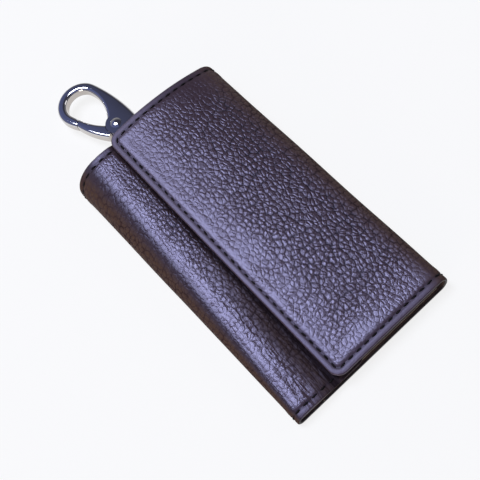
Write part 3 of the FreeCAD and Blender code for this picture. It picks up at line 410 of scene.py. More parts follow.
print("soft finishes:", edge_paint.name, suede.name, lining_skin.name, strap_hide.name, thread.name)

# %% [markdown]
# The section of the case
#
# Cut across, the case is a flat back, a corner and a shoulder on each side, a wing that slopes down under
# the flap, and a flap that arches over it. The near end is thin and the far end is thick, and straight
# lines join them. So each point is worked out on the near section and on the far one, and taken between
# the two. It could be modelled by hand, but then the leather, the lining and the thread would not lie
# neatly on each other.

# %% Sizes of the two end sections, in millimetres and degrees
LONG = 112.0
LEATHER = 1.0
LINING = 0.6
BOARD = 0.4
CORNER_ROUND = 4.0
WING_BEND = -11.8
WING_TIP = -2.0
STUD_X = -7.6
# Each side has its height, the radius of its lower corner and the radius of its shoulder.
# The arch rises and falls by degrees, edge is where the flap ends, and drop is from the flap to the wing.
NEAR = {
    "half": 31.5,
    "left": (4.3, 2.0, 2.0),
    "right": (6.5, 3.0, 3.0),
    "drop": 1.475,
    "rise": 1.4,
    "fall": 1.4,
    "edge": -14.2,
}
FAR = {
    "half": 31.0,
    "left": (16.0, 4.0, 10.5),
    "right": (14.4, 5.0, 6.0),
    "drop": 3.035,
    "rise": 21.0,
    "fall": 7.0,
    "edge": -13.2,
}
print("shoulders on the right:", NEAR["right"][0], "mm high, and", FAR["right"][0], "mm at the far end")


# %% Points on the folds and the sides
def to_side(side, out):
    """A distance out from the middle, as a place on one side."""
    return out if side == "right" else -out


def low_corner(end, side, turn, depth):
    """A point on a lower fold: turn 0 is the flat back, turn 90 the upright side."""
    radius = end[side][1]
    reach = radius - depth
    out = end["half"] - radius + reach * np.sin(np.radians(turn))
    return to_side(side, out), radius - reach * np.cos(np.radians(turn))


def shoulder(end, side, turn, depth):
    """A point on an upper fold: turn 0 is the upright side, turn 90 the top."""
    height, _, radius = end[side]
    reach = radius - depth
    out = end["half"] - radius + reach * np.cos(np.radians(turn))
    return to_side(side, out), height - radius + reach * np.sin(np.radians(turn))


def upright_side(end, side, goal, share, depth):
    """A point on the upright side, from its middle at share 0 to its top or its foot at share 1."""
    height, foot, shoulder_radius = end[side]
    top = height - shoulder_radius
    middle = (foot + top) / 2
    reached = top if goal == "top" else foot
    return to_side(side, end["half"] - depth), middle + (reached - middle) * share


# %% Points on the flap's arch
def arch_circle(end):
    """The radius and the middle of the circle that the flap's arch follows."""
    rise, fall = math.radians(end["rise"]), math.radians(end["fall"])
    start_x, start_z = shoulder(end, "right", 90.0 - end["rise"], 0.0)
    radius = (start_x - end["edge"]) / (math.sin(rise) + math.sin(fall))
    return radius, start_x - radius * math.sin(rise), start_z - radius * math.cos(rise)


def flap_arch(end, share, depth):
    """A point on the flap, from the right shoulder at share 0 to its free edge at share 1."""
    radius, middle_x, middle_z = arch_circle(end)
    lean = np.radians(end["rise"] - (end["rise"] + end["fall"]) * share)
    return middle_x + (radius - depth) * np.sin(lean), middle_z + (radius - depth) * np.cos(lean)


print("arch radius:", [round(arch_circle(end)[0]) for end in (NEAR, FAR)], "mm")


# %% Points on the wing
def wing_height(end):
    """The height of the wing's level part, which lies a set drop below the flap."""
    radius, middle_x, middle_z = arch_circle(end)
    return middle_z + math.sqrt((radius - LEATHER) ** 2 - (STUD_X - middle_x) ** 2) - end["drop"]


def wing_fall(end):
    """How many degrees the wing falls, on a line from its bend that just touches the shoulder."""
    height, _, radius = end["left"]
    run = WING_BEND + end["half"] - radius
    rise = wing_height(end) - height + radius
    touch = math.sqrt(run * run + rise * rise - radius * radius)
    return 90.0 - math.degrees(math.atan(rise / run) + math.atan(touch / radius))


def wing_slope(end, share, depth):
    """A point on the wing's slope, from the left shoulder at share 0 to its bend at share 1."""
    fall = wing_fall(end)
    top_x, top_z = shoulder(end, "left", 90.0 + fall, depth)
    bend_x = WING_BEND - depth * math.tan(math.radians(fall / 2))
    return top_x + (bend_x - top_x) * share, top_z + (wing_height(end) - depth - top_z) * share


def wing_level(end, share, depth):
    """A point on the wing's level part, from its bend to its tip under the flap."""
    bend_x, bend_z = wing_slope(end, 1.0, depth)
    return bend_x + (WING_TIP - bend_x) * share, bend_z + 0.0 * share


print("wing falls by", [round(wing_fall(end), 1) for end in (NEAR, FAR)], "degrees")

# %% [markdown]
# Routes over the section
#
# A leather piece follows a route over the section, such as up the side, round the shoulder and over the
# arch. A route is a list of stretches. It finds the point for any distance along it, any place along the
# case and any depth below the outer face, so that one function serves for the outer face, the inner face
# and the rim. A flat sheet could be bent by modifiers instead, but it would not keep to the plain model.

# %% What a route is
BACK_SEAM = -21.0
MEASURING_STEPS = 60


class Route:
    """Stretches of the section that follow each other."""

    def __init__(self, *stretches):
        self.stretches = [(self.mean_length(shape), shape) for shape in stretches]
        self.total = sum(length for length, _ in self.stretches)

    @staticmethod
    def mean_length(shape):
        """The length of a stretch on the outer face, midway between the two ends."""
        shares = np.linspace(0.0, 1.0, MEASURING_STEPS)
        lengths = []
        for end in (NEAR, FAR):
            x, z = (value + 0.0 * shares for value in shape(end, shares, 0.0))
            lengths.append(np.hypot(np.diff(x), np.diff(z)).sum())
        return float(np.mean(lengths))

    def start_of(self, number):
        """How far along the route a stretch starts."""
        return sum(length for length, _ in self.stretches[:number])

    def at(self, along, across, depth):
        """The points, in millimetres, for distances along the route and places along the case."""
        along, across, depth = np.broadcast_arrays(along, across, depth)
        part = (across + LONG / 2) / LONG
        x = np.zeros(along.shape)
        z = np.zeros(along.shape)
        start = 0.0
        final = len(self.stretches) - 1
        for number, (length, shape) in enumerate(self.stretches):
            here = ((along >= start) | (number == 0)) & ((along < start + length) | (number == final))
            share = (along[here] - start) / length
            near_x, near_z = shape(NEAR, share, depth[here])
            far_x, far_z = shape(FAR, share, depth[here])
            x[here] = near_x + (far_x - near_x) * part[here]
            z[here] = near_z + (far_z - near_z) * part[here]
            start += length
        return np.stack([x, across, z], axis=-1)


# %% The four routes
def back_floor(end, side, share, depth):
    """A point on the flat back, from a fold to the seam where the two lower pieces meet."""
    start = to_side(side, end["half"] - end[side][1])
    return start + (BACK_SEAM - start) * share, depth + 0.0 * share


def under_route(side):
    """The route down a side, round its lower fold and along the back."""
    return Route(
        lambda end, share, depth: upright_side(end, side, "foot", share, depth),
        lambda end, share, depth: low_corner(end, side, 90.0 * (1.0 - share), depth),
        lambda end, share, depth: back_floor(end, side, share, depth),
    )


def upper_route(side, full_turn, *top):
    """The route up a side, round its shoulder and on over the top."""
    return Route(
        lambda end, share, depth: upright_side(end, side, "top", share, depth),
        lambda end, share, depth: shoulder(end, side, full_turn(end) * share, depth),
        *top,
    )


flap_route = upper_route("right", lambda end: 90.0 - end["rise"], flap_arch)
wing_route = upper_route("left", lambda end: 90.0 + wing_fall(end), wing_slope, wing_level)
back_route = under_route("right")
left_route = under_route("left")
print("flap route", round(flap_route.total, 1), "mm, wing route", round(wing_route.total, 1), "mm")

# %% [markdown]
# A sheet with a rounded rim
#
# Leather is not a paper-thin face. Each piece is a closed shell: an outer grid, an inner grid, and rings of
# faces between them that round the rim off. The rings are the same outline drawn a little further in or
# out. Where a piece meets its neighbour in the middle of a fold, that side stays straight, so that no line
# shows there. A Solidify modifier would give the thickness too, but not a rim that is round on some sides
# only.

# %% The rim and the spacing of the grid
RIM_STEPS = 7
RIM_ROUND = 0.45


def rim_profile(thick, roundness):
    """How far in and how deep each ring of the rim is."""
    steps = [(roundness, 0.0)]
    for step in range(1, RIM_STEPS):
        angle = math.pi / 2 * step / RIM_STEPS
        steps.append((roundness * (1 - math.sin(angle)), roundness * (1 - math.cos(angle))))
    lower = [(inset, thick - depth) for inset, depth in reversed(steps)]
    return steps + [(0.0, thick / 2)] + lower


def graded(length, step, fine_low=False, fine_high=False, fine=0.36, reach=4.4):
    """Shares from 0 to 1 that are close together at the ends that ask for it."""
    low = reach if fine_low else 0.0
    high = reach if fine_high else 0.0
    places = [np.linspace(0.0, low, int(low / fine) + 1)] if fine_low else [np.array([0.0])]
    places.append(np.linspace(low, length - high, max(2, int((length - low - high) / step) + 1))[1:])
    if fine_high:
        places.append(np.linspace(length - high, length, int(high / fine) + 1)[1:])
    return np.concatenate(places) / length


print("rings in a rim:", len(rim_profile(LEATHER, RIM_ROUND)))

# %% The faces of a shell
OUTSIDE, RIM, INSIDE = 0, 1, 2


def shell_faces(covers, rings):
    """The faces of the two covers and of the rim between them, with the number of their finish."""
    faces, kinds = [], []
    for cover, kind in zip(covers, (OUTSIDE, INSIDE)):
        quads = np.stack([cover[:-1, :-1], cover[:-1, 1:], cover[1:, 1:], cover[1:, :-1]], axis=-1)
        quads = quads.reshape(-1, 4)
        faces += (quads if kind == OUTSIDE else quads[:, ::-1]).tolist()
        kinds += [kind] * len(quads)
    for number, (upper, lower) in enumerate(zip(rings[:-1], rings[1:])):
        quads = np.stack([upper, lower, np.roll(lower, -1), np.roll(upper, -1)], axis=-1)
        faces += quads.tolist()
        # The rim's upper half takes the outer finish and its lower half the rim's, which on the leather is
        # a dark edge paint that also paints the shade under the edge.
        kinds += [OUTSIDE if number < RIM_STEPS - 1 else RIM] * len(quads)
    return faces, kinds


def smooth_mesh(name, points, faces, kinds, finishes):
    """A smooth mesh of points in millimetres, with a finish for each kind of face, turned outwards."""
    mesh = bpy.data.meshes.new(name)
    mesh.from_pydata((points * MM).tolist(), [], faces)
    for finish in finishes:
        mesh.materials.append(finish)
    mesh.polygons.foreach_set("material_index", np.array(kinds, dtype=np.int32))
    mesh.polygons.foreach_set("use_smooth", np.ones(len(faces), dtype=bool))
    shell = bmesh.new()
    shell.from_mesh(mesh)
    bmesh.ops.recalc_face_normals(shell, faces=shell.faces)
    shell.to_mesh(mesh)
    shell.free()
    return mesh


# %% The sheet builder
CORNER_STEPS = 13
LEAST_CORNER = 0.01


class Sheet:
    """A closed shell over a surface, given as place(along, across, depth) in millimetres."""

    def __init__(
        self, place, along, across, thick, roundness=RIM_ROUND, corner=CORNER_ROUND, seams=(True, False)
    ):
        self.place = place
        self.along = along
        self.across = across
        self.rim = rim_profile(thick, roundness)
        self.corner = corner
        self.free = [0.0 if seam else 1.0 for seam in seams]

    def outline(self, inset, columns, rows):
        """The grid of an outline that is drawn in by an inset, apart from the sides that are seams."""
        first = self.across[0] + inset
        final = self.across[1] - inset
        bend = max(self.corner - inset, LEAST_CORNER)
        turns = np.linspace(0.0, np.pi / 2, CORNER_STEPS)
        start = first + bend * (1 - np.cos(turns))
        cut = bend * (1 - np.sin(turns))
        middle = first + bend + (final - first - 2 * bend) * rows[1:-1]
        across = np.concatenate([start, middle, (first + final - start)[::-1]])
        shorter = np.concatenate([cut, np.zeros(len(middle)), cut[::-1]])
        row_low = self.along[0] + self.free[0] * inset + self.free[0] * shorter
        row_high = self.along[1] - self.free[1] * inset - self.free[1] * shorter
        along = row_low[:, None] + (row_high - row_low)[:, None] * columns[None, :]
        return along, np.repeat(across[:, None], len(columns), axis=1)

    def shell(self, columns, rows):
        """The flat map and the depth of every point, and the faces with the number of their finish."""
        grids = [self.outline(inset, columns, rows) for inset, _ in self.rim]
        tall, wide = grids[0][0].shape
        border = [(0, j) for j in range(wide)] + [(i, wide - 1) for i in range(1, tall)]
        border += [(tall - 1, j) for j in range(wide - 2, -1, -1)]
        border += [(i, 0) for i in range(tall - 2, 0, -1)]
        border = tuple(np.array(border).T)
        maps, depths, rings, covers = [], [], [], []
        count = 0
        for number, ((along, across), (_, depth)) in enumerate(zip(grids, self.rim)):
            if number in (0, len(self.rim) - 1):
                cover = np.arange(tall * wide).reshape(tall, wide) + count
                covers.append(cover)
                rings.append(cover[border])
                points = np.stack([along.ravel(), across.ravel()], axis=1)
            else:
                points = np.stack([along[border], across[border]], axis=1)
                rings.append(np.arange(len(points)) + count)
            maps.append(points)
            depths.append(np.full(len(points), depth))
            count += len(points)
        return np.concatenate(maps), np.concatenate(depths), *shell_faces(covers, rings)

    def build(self, name, columns, rows, finishes, notes=None):
        """The mesh object, with its flat map and with attributes worked out by notes(along, across)."""
        flat, deep, faces, kinds = self.shell(columns, rows)
        mesh = smooth_mesh(name, self.place(flat[:, 0], flat[:, 1], deep), faces, kinds, finishes)
        corners = np.zeros(len(mesh.loops), dtype=np.int32)
        mesh.loops.foreach_get("vertex_index", corners)
        flat_map = mesh.uv_layers.new(name="flat_map")
        flat_map.data.foreach_set("uv", (flat[corners] * MM).astype(np.float32).ravel())
        for key, values in (notes(flat[:, 0], flat[:, 1]) if notes else {}).items():
            layer = mesh.attributes.new(key, "FLOAT", "POINT")
            layer.data.foreach_set("value", values.astype(np.float32))
        mesh.update()
        piece = new_object(name, mesh)
        print(name, "faces:", len(faces))
        return piece


# %% [markdown]
# Sewing pulls the leather
#
# A row of stitches pulls the leather down, and beside it the leather puffs up a little. Every sewn piece
# gets this from one profile of the distance to the sewn edge. Wide, low waves on top of it keep the big
# faces from looking machined. Use shows in the same way: each note is a simple function of the place.

# %% Relief of the sewn leather
STITCH_INSET = 2.3
END = LONG / 2
WORN_REACH = 16.0
BORDER_END = 3.4
BORDER_FADE = 1.4
# How dark the painted shade in the stitch groove is.
STITCH_GROOVE_SHADE = 0.6
SEAM_WIDTH = 0.4
# The humps of the sewn profile: distance from the edge, width and height.
SEWN_HUMPS = ((STITCH_INSET, 0.42, -0.20), (4.3, 1.5, 0.14), (1.1, 0.6, 0.05))


def hump(value, middle, width):
    """A soft hump: 1 in its middle, and nearly 0 at twice its width from there."""
    return np.exp(-(((value - middle) / width) ** 2))


def limited(value):
    """A value that is kept between 0 and 1."""
    return np.clip(value, 0.0, 1.0)


def sewn_relief(distance):
    """Height over the plain face, in millimetres, at a distance from a sewn edge."""
    return sum(height * hump(distance, middle, width) for middle, width, height in SEWN_HUMPS)


def soft_waves(along, across):
    """Low waves, as leather has them after use."""
    slow = 0.07 * np.sin(across / 7.1 + 1.7 * np.sin(along / 9.0)) * np.sin(along / 6.3 + 0.8)
    return slow + 0.05 * np.sin(across / 15.0 - along / 11.0)


def from_ends(across):
    """The distance to the nearer short end."""
    return END - np.abs(across)


def from_three_sides(along, across, total):
    """The distance to the nearest of a free edge and the two short ends, round the corners."""
    side = total - along
    end = from_ends(across)
    inner_side = np.maximum(CORNER_ROUND - side, 0.0)
    inner_end = np.maximum(CORNER_ROUND - end, 0.0)
    rounded = CORNER_ROUND - np.hypot(inner_side, inner_end)
    return np.where((inner_side > 0) & (inner_end > 0), rounded, np.minimum(side, end))


print("stitch groove:", round(float(sewn_relief(STITCH_INSET)), 2), "mm")


# %% Notes of the sewn leather
def sewn_notes(distance, warm_lit_and_rubbed):
    """The attributes that the pebbled leather reads: the side mask is 1 on the sides, which are dull and
    painted with a warm light.
    """
    return {
        "border": limited((BORDER_END - distance) / BORDER_FADE),
        # Painted shade: the stitch groove is darkened.
        "seam": STITCH_GROOVE_SHADE * hump(distance, STITCH_INSET, SEAM_WIDTH),
        "worn": limited(1.0 - distance / WORN_REACH),
        # Painted warm light on the sides, which are also dull.
        "matt": warm_lit_and_rubbed,
    }


def deepen(notes, key, values):
    """Raises a note to new values where they are higher."""
    notes[key] = np.maximum(notes[key], values)


def turned(route, along):
    """How far an upper fold has turned: 0 on the upright side, 1 on top."""
    return (along - route.start_of(1)) / (route.start_of(2) - route.start_of(1))


def rubbed_warm_lit_side(route, along, until=0.92, fade=0.42):
    """How dull an upper fold is and how much warm light is painted on it: fully on the upright side, and no
    longer from a share of the turn on.
    """
    return limited((until - turned(route, along)) / fade)


def raised(route, relief):
    """A place function with a relief on the outer face and a plain inner face."""

    def place(along, across, depth):
        shift = relief(along, across) * (1.0 - depth / LEATHER)
        return route.at(along, across, depth - shift)

    return place


# %% [markdown]
# The four leather pieces
#
# The strip bends at four lines, two in each fold, and a piece may bend at only one. So the strip is four
# pieces, which meet where a fold stands upright, and once underneath.

# %% Bake a piece in place, by the joint of its fold
ACROSS_FOLD = {
    "flap_upper_fold": (-1, 0, 1),
    "flap_lower_fold": (1, 0, 1),
    "wing_upper_fold": (1, 0, 1),
    "wing_lower_fold": (-1, 0, 1),
}


def bend_over(piece, joint_name):
    """Works out the joint's axis and the line across its fold, and bakes the piece's transform into its
    mesh; the piece is not made to bend.
    """
    joint = joints[joint_name]
    axis = Vector(joint["axis"]).normalized()
    across = Vector(ACROSS_FOLD[joint_name])
    across = (across - axis * across.dot(axis)).normalized()
    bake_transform(piece)


# %% The flap
flap_total = flap_route.total
HANDLED_WIDTH = 17.0
leather_finishes = (hide, edge_paint, suede)
case_rows = graded(LONG - 2 * CORNER_ROUND, 1.8, True, True, fine=0.7, reach=2.1)


def flap_relief(along, across):
    """Three sewn sides on a face with low waves."""
    return sewn_relief(from_three_sides(along, across, flap_total)) + soft_waves(along, across)


def flap_notes(along, across):
    """The sewn leather's attributes, with a dull fold painted with a warm light, and hands' wear by the
    free edge's thick end.
    """
    # Painted warm light, with dullness, over the whole turn of the flap's fold.
    warm_lit_and_rubbed = rubbed_warm_lit_side(flap_route, along, until=1.7, fade=1.2)
    notes = sewn_notes(from_three_sides(along, across, flap_total), warm_lit_and_rubbed)
    handled = hump(along, flap_total, HANDLED_WIDTH) * limited(0.35 + 0.75 * across / END)
    deepen(notes, "worn", handled)
    deepen(notes, "matt", 0.19 * handled)
    return notes


flap_sheet = Sheet(raised(flap_route, flap_relief), (0.0, flap_total), (-END, END), LEATHER)
flap_columns = graded(flap_total, 0.8, fine_high=True)
flap_piece = flap_sheet.build("flap_hide", flap_columns, case_rows, leather_finishes, flap_notes)
bend_over(flap_piece, "flap_upper_fold")
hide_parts("flap_leather", "right_spine_leather")

# %% The form of the wing, with its rounded roll and the seats of its two press studs
wing_total = wing_route.total
slope_start = wing_route.start_of(2)
slope_end = wing_route.start_of(3)
STUD_PLACES = (2.0, 38.0)
SEAT_RADIUS = 5.2
SEAT_RIM = 0.8
SEAT_DEPTH = 0.22
ROLL_FULLNESS = 0.30
THIN_END_SAG = 0.50
PINCH_DEPTH = 0.62
PINCH_WIDTH = 1.7
DEEPEST = 0.7


def thin_end(across):
    """How near a place is to the thin end: 0 from the middle on, 1 at the end itself."""
    return limited(-across / END)


def down_slope(along):
    """How far down the wing's slope a place is: 0 on the roll, 1 at the bend."""
    return limited((along - slope_start) / (slope_end - slope_start))


def past_edge(along, across):
    """How far along the wing a place lies from the line where the flap's free edge is over it."""
    part = (across + END) / LONG
    edge = NEAR["edge"] + (FAR["edge"] - NEAR["edge"]) * part
    return along - (slope_end - (WING_BEND - edge))


def wing_relief(along, across):
    """Sewn ends, a fuller roll, a groove that the flap's edge has pressed, and seats for the studs."""
    share = down_slope(along)
    relief = sewn_relief(from_ends(across)) + soft_waves(along, across)
    relief = relief + ROLL_FULLNESS * np.sin(np.pi * np.sqrt(share))
    relief = relief - THIN_END_SAG * thin_end(across) * limited((share - 0.12) / 0.7)
    relief = relief - PINCH_DEPTH * hump(past_edge(along, across), 0.2, PINCH_WIDTH)
    stud_along = slope_end + (STUD_X - WING_BEND) / (WING_TIP - WING_BEND) * (wing_total - slope_end)
    for stud_across in STUD_PLACES:
        distance = np.hypot(along - stud_along, across - stud_across)
        relief = relief - SEAT_DEPTH * limited((SEAT_RADIUS - distance) / SEAT_RIM)
    return np.maximum(relief, -DEEPEST)


print("wing route: slope from", round(slope_start, 1), "to", round(slope_end, 1), "mm")


# %% The wing
def wing_notes(along, across):
    """The sewn leather's attributes, with creases at the thin end, and painted shade beside the flap's
    edge, on the shoulder and on the thin end's slope.
    """
    share = down_slope(along)
    # Painted warm light, with dullness, on the roll's upright side.
    notes = sewn_notes(from_ends(across), rubbed_warm_lit_side(wing_route, along))
    notes["creased"] = 1.6 * thin_end(across) * limited((share - 0.12) * 4.0)
    # Painted shade: the slope by the thin end is made darker, duller and browner.
    shaded = 0.95 * limited((0.2 - across / END) * 1.4) * limited((share - 0.32) * 4.0)
    deepen(notes, "matt", 0.8 * shaded)
    deepen(notes, "seam", 0.5 * shaded)
    # Painted shadow: a dark band on the wing beside the flap's free edge.
    deepen(notes, "seam", hump(past_edge(along, across), 0.1, PINCH_WIDTH))
    # Painted shade: a dark band where the roll's shoulder turns from the side to the top.
    deepen(notes, "seam", 0.6 * hump(turned(wing_route, along), 0.80, 0.17))
    deepen(notes, "worn", hump(along, slope_start, 4.0) * (0.7 + 0.3 * thin_end(across)))
    return notes


wing_sheet = Sheet(raised(wing_route, wing_relief), (0.0, wing_total), (-END, END), LEATHER)
wing_columns = graded(wing_total, 0.5, fine_high=True)
wing_piece = wing_sheet.build("wing_hide", wing_columns, case_rows, leather_finishes, wing_notes)
bend_over(wing_piece, "wing_upper_fold")
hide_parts("wing_leather", "left_spine_leather")


# %% The back and its two lower folds
def low_relief(along, across):
    """Only the pull of the stitches, because the back lies flat."""
    return np.minimum(1.3 * sewn_relief(from_ends(across)), 0.0)


def low_notes(along, across):
    """The sewn leather's attributes, dull and painted with the warm side light all over."""
    return sewn_notes(from_ends(across), np.ones(along.shape))


def fold_hide(name, route, joint_name):
    """A lower fold with the part of the back that goes with it."""
    sheet = Sheet(raised(route, low_relief), (0.0, route.total), (-END, END), LEATHER, seams=(True, True))
    piece = sheet.build(name, graded(route.total, 0.8), case_rows, leather_finishes, low_notes)
    bend_over(piece, joint_name)
    return sheet, piece


back_sheet, back_piece = fold_hide("back_hide", back_route, "flap_lower_fold")
left_sheet, _ = fold_hide("left_fold_hide", left_route, "wing_lower_fold")
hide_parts("back_leather")

# %% [markdown]
# The lining
#
# Inside, a thin skin covers the back, both folds, the wing and the flap, and stops a little short of the
# sewn edges. It is made with the same routes and the same sheet builder, only deeper. Over the back it lies
# on the stiffening board, so the fold linings climb by the board's thickness where they meet it.

# %% The lining of the flap and of the wing
LINING_EDGE = 1.5
LINING_INSET = 1.2
LINING_ENDS = (-END + LINING_INSET, END - LINING_INSET)
LINING_CORNER = CORNER_ROUND - 1.0
LINING_ROUND = 0.25
LINING_PLAY = 0.02
lining_finishes = (lining_skin, lining_skin, lining_skin)


def lined(route):
    """A place function for a skin on the inner face of the leather."""
    return lambda along, across, depth: route.at(along, across, depth + LEATHER + LINING_PLAY)


for route, name, joint_name, stands_for in (
    (flap_route, "flap_skin", "flap_upper_fold", ("flap_lining", "right_spine_lining")),
    (wing_route, "wing_skin", "wing_upper_fold", ("wing_lining", "left_spine_lining")),
):
    reach = (0.0, route.total - LINING_EDGE)
    skin_sheet = Sheet(lined(route), reach, LINING_ENDS, LINING, LINING_ROUND, LINING_CORNER)
    skin = skin_sheet.build(name, graded(route.total, 1.2), case_rows, lining_finishes)
    bend_over(skin, joint_name)
    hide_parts(*stands_for)

# %% The lining of the lower folds
BACK_INSET = 0.8
BOARD_PLAY = 0.03
SKIN_GAP = 0.05
LOW_SKIN = {"corner": 1.0, "seams": (True, True)}


def climbing(route):
    """A place function that climbs onto the board as the fold comes down to the back."""
    down = route.start_of(1)
    flat = route.start_of(2)

    def place(along, across, depth):
        share = limited((along - down) / (flat - down))
        lift = (BOARD + BOARD_PLAY) * share * share * (3.0 - 2.0 * share)
        return route.at(along, across, depth + LEATHER + LINING_PLAY + lift)

    return place


for route, name, joint_name in (
    (back_route, "right_fold_skin", "flap_lower_fold"),
    (left_route, "left_fold_skin", "wing_lower_fold"),
):
    reach = (0.0, route.start_of(2) + BACK_INSET - SKIN_GAP)
    thick = LINING - BOARD_PLAY
    skin_sheet = Sheet(climbing(route), reach, LINING_ENDS, thick, LINING_ROUND, **LOW_SKIN)
    skin = skin_sheet.build(name, graded(route.start_of(2), 0.7), case_rows, lining_finishes)
    bend_over(skin, joint_name)

# %% The lining of the back
BACK_WIDE = 2 * NEAR["half"] - NEAR["left"][1] - NEAR["right"][1] - 2 * BACK_INSET
BACK_COLUMNS = 44
BACK_ROUND = 0.2


def back_skin_place(along, across, depth):
    """The lining on the board: along goes from the left fold to the right one, depth goes down."""
    part = (across + END) / LONG
    left = -(NEAR["half"] - NEAR["left"][1]) * (1 - part) - (FAR["half"] - FAR["left"][1]) * part
    right = (NEAR["half"] - NEAR["right"][1]) * (1 - part) + (FAR["half"] - FAR["right"][1]) * part
    x = left + BACK_INSET + (right - left - 2 * BACK_INSET) * along / BACK_WIDE
    top = LEATHER + BOARD + LINING + 0.0 * along
    return np.stack([x, across + 0.0 * along, top - depth], axis=-1)


thick = LINING - LINING_PLAY
back_skin_sheet = Sheet(back_skin_place, (0.0, BACK_WIDE), LINING_ENDS, thick, BACK_ROUND, **LOW_SKIN)
back_columns = np.linspace(0.0, 1.0, BACK_COLUMNS)
back_skin = back_skin_sheet.build("back_skin", back_columns, case_rows, lining_finishes)
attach(back_skin, "back")
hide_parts("back_lining")

# %% [markdown]
# The stitches
#
# The thread shows as short dark dashes, a little over 3 mm apart, in a groove beside the edge. A Geometry
# Nodes tree sets them out: it walks along a line, turns each stitch to follow it, and tips every one
# slightly, with a fixed seed. The line itself is read from the same sheet as the leather, so it lies in the
# groove. A painted line would do from far away, but real stitches catch the light from every side.

# %% The tree that sews
STITCH = {"Pitch": 3.3 * MM, "Long": 2.2 * MM, "Thick": 0.72 * MM}
STITCH_SEED = 7
TIP = Vector((0.05, 0.05, 0.09))


def sewing_tree():
    """Stitches along a curve: Pitch, Long and Thick are in metres."""
    tree = bpy.data.node_groups.new("sewing", "GeometryNodeTree")
    face = tree.interface
    face.new_socket("Geometry", in_out="INPUT", socket_type="NodeSocketGeometry")
    for title, size in STITCH.items():
        face.new_socket(title, in_out="INPUT", socket_type="NodeSocketFloat").default_value = size
    face.new_socket("Seed", in_out="INPUT", socket_type="NodeSocketInt").default_value = STITCH_SEED
    face.new_socket("Geometry", in_out="OUTPUT", socket_type="NodeSocketGeometry")
    given = tree.nodes.new("NodeGroupInput").outputs
    result = tree.nodes.new("NodeGroupOutput")
    walk = add(tree, "GeometryNodeCurveToPoints", {"Curve": given["Geometry"]}, mode="LENGTH")
    feed(tree, walk.inputs["Length"], given["Pitch"])
    along = add(tree, "FunctionNodeAlignRotationToVector", {"Vector": walk.outputs["Tangent"]}, axis="X")
    tip = add(tree, "FunctionNodeRandomValue", {"Seed": given["Seed"]}, data_type="FLOAT_VECTOR")
    tip.inputs[0].default_value = -TIP
    tip.inputs[1].default_value = TIP
    tip_turn = add(tree, "FunctionNodeEulerToRotation", {"Euler": tip.outputs[0]})
    turns = {"Rotation": along.outputs["Rotation"], "Rotate By": tip_turn.outputs["Rotation"]}
    tipped = add(tree, "FunctionNodeRotateRotation", turns, rotation_space="LOCAL")
    bead = add(tree, "GeometryNodeMeshUVSphere", {"Segments": 8, "Rings": 6, "Radius": 0.5}).outputs["Mesh"]
    size = add(tree, "ShaderNodeCombineXYZ", {0: given["Long"], 1: given["Thick"], 2: given["Thick"]})
    stitch = add(tree, "GeometryNodeTransform", {"Geometry": bead, "Scale": size.outputs[0]})
    smooth = add(tree, "GeometryNodeSetShadeSmooth", {"Geometry": stitch.outputs[0]})
    sewn = add(tree, "GeometryNodeInstanceOnPoints", {"Points": walk.outputs["Points"]})
    feed(tree, sewn.inputs["Instance"], smooth.outputs[0])
    feed(tree, sewn.inputs["Rotation"], tipped.outputs["Rotation"])
    real = add(tree, "GeometryNodeRealizeInstances", {"Geometry": sewn.outputs["Instances"]}).outputs[0]
    finish = add(tree, "GeometryNodeSetMaterial", {"Geometry": real, "Material": thread})
    feed(tree, result.inputs["Geometry"], finish.outputs["Geometry"])
    return tree


sewing = sewing_tree()
print("nodes that sew:", len(sewing.nodes))

# %% Sew along lines
sewing_inputs = [item for item in sewing.interface.items_tree if item.in_out == "INPUT"]
socket_names = {item.name: item.identifier for item in sewing_inputs}


def sew(name, lines):
    """A mesh of stitches along lines of points in millimetres."""
    curve = bpy.data.curves.new(name + "_line", "CURVE")
    curve.dimensions = "3D"
    for line in lines:
        spline = curve.splines.new("POLY")
        spline.points.add(len(line) - 1)
        for point, place in zip(spline.points, line):
            point.co = (*(np.asarray(place) * MM), 1.0)
    guide = new_object(name + "_line", curve)
    sewer = guide.modifiers.new("sewing", "NODES")
    sewer.node_group = sewing
    for title, value in {**STITCH, "Seed": STITCH_SEED}.items():
        sewer[socket_names[title]] = value
    ready = guide.evaluated_get(bpy.context.evaluated_depsgraph_get())
    mesh = bpy.data.meshes.new_from_object(ready)
    mesh.name = name
    guide.modifiers.remove(sewer)
    bpy.data.objects.remove(guide)
    row = new_object(name, mesh)
    print(name, "stitch faces:", len(mesh.polygons))
    return row


# %% Stitch lines on the flap, the wing and the folds
THREAD_DEPTH = -0.06
PRESSED_THREAD_DEPTH = 0.18
FIRST_STITCH = 0.6
WING_LAST_STITCH = wing_total - 3.0
SHORT_LINE_POINTS = 160
LONG_LINE_POINTS = 140
TURN_POINTS = 14


def short_end_lines(sheet, final, depth=THREAD_DEPTH):
    """Two stitch lines beside the short ends, as far as a place along the route."""
    along = np.linspace(FIRST_STITCH, final, SHORT_LINE_POINTS)
    beside = np.full(along.shape, END - STITCH_INSET)
    return [sheet.place(along, end * beside, np.full(along.shape, depth)) for end in (-1, 1)]


def three_sided_line(sheet, total):
    """A stitch line along one short end, round a corner, along the free edge and back."""
    bend = CORNER_ROUND - STITCH_INSET
    side = total - STITCH_INSET
    low = -END + STITCH_INSET
    half = [(along, low) for along in np.linspace(FIRST_STITCH, side - bend, LONG_LINE_POINTS)]
    for turn in np.linspace(0.0, np.pi / 2, TURN_POINTS)[1:]:
        half.append((side - bend + bend * np.sin(turn), low + bend - bend * np.cos(turn)))
    whole = np.array(half + [(along, -across) for along, across in reversed(half)])
    return sheet.place(whole[:, 0], whole[:, 1], np.full(len(whole), THREAD_DEPTH))


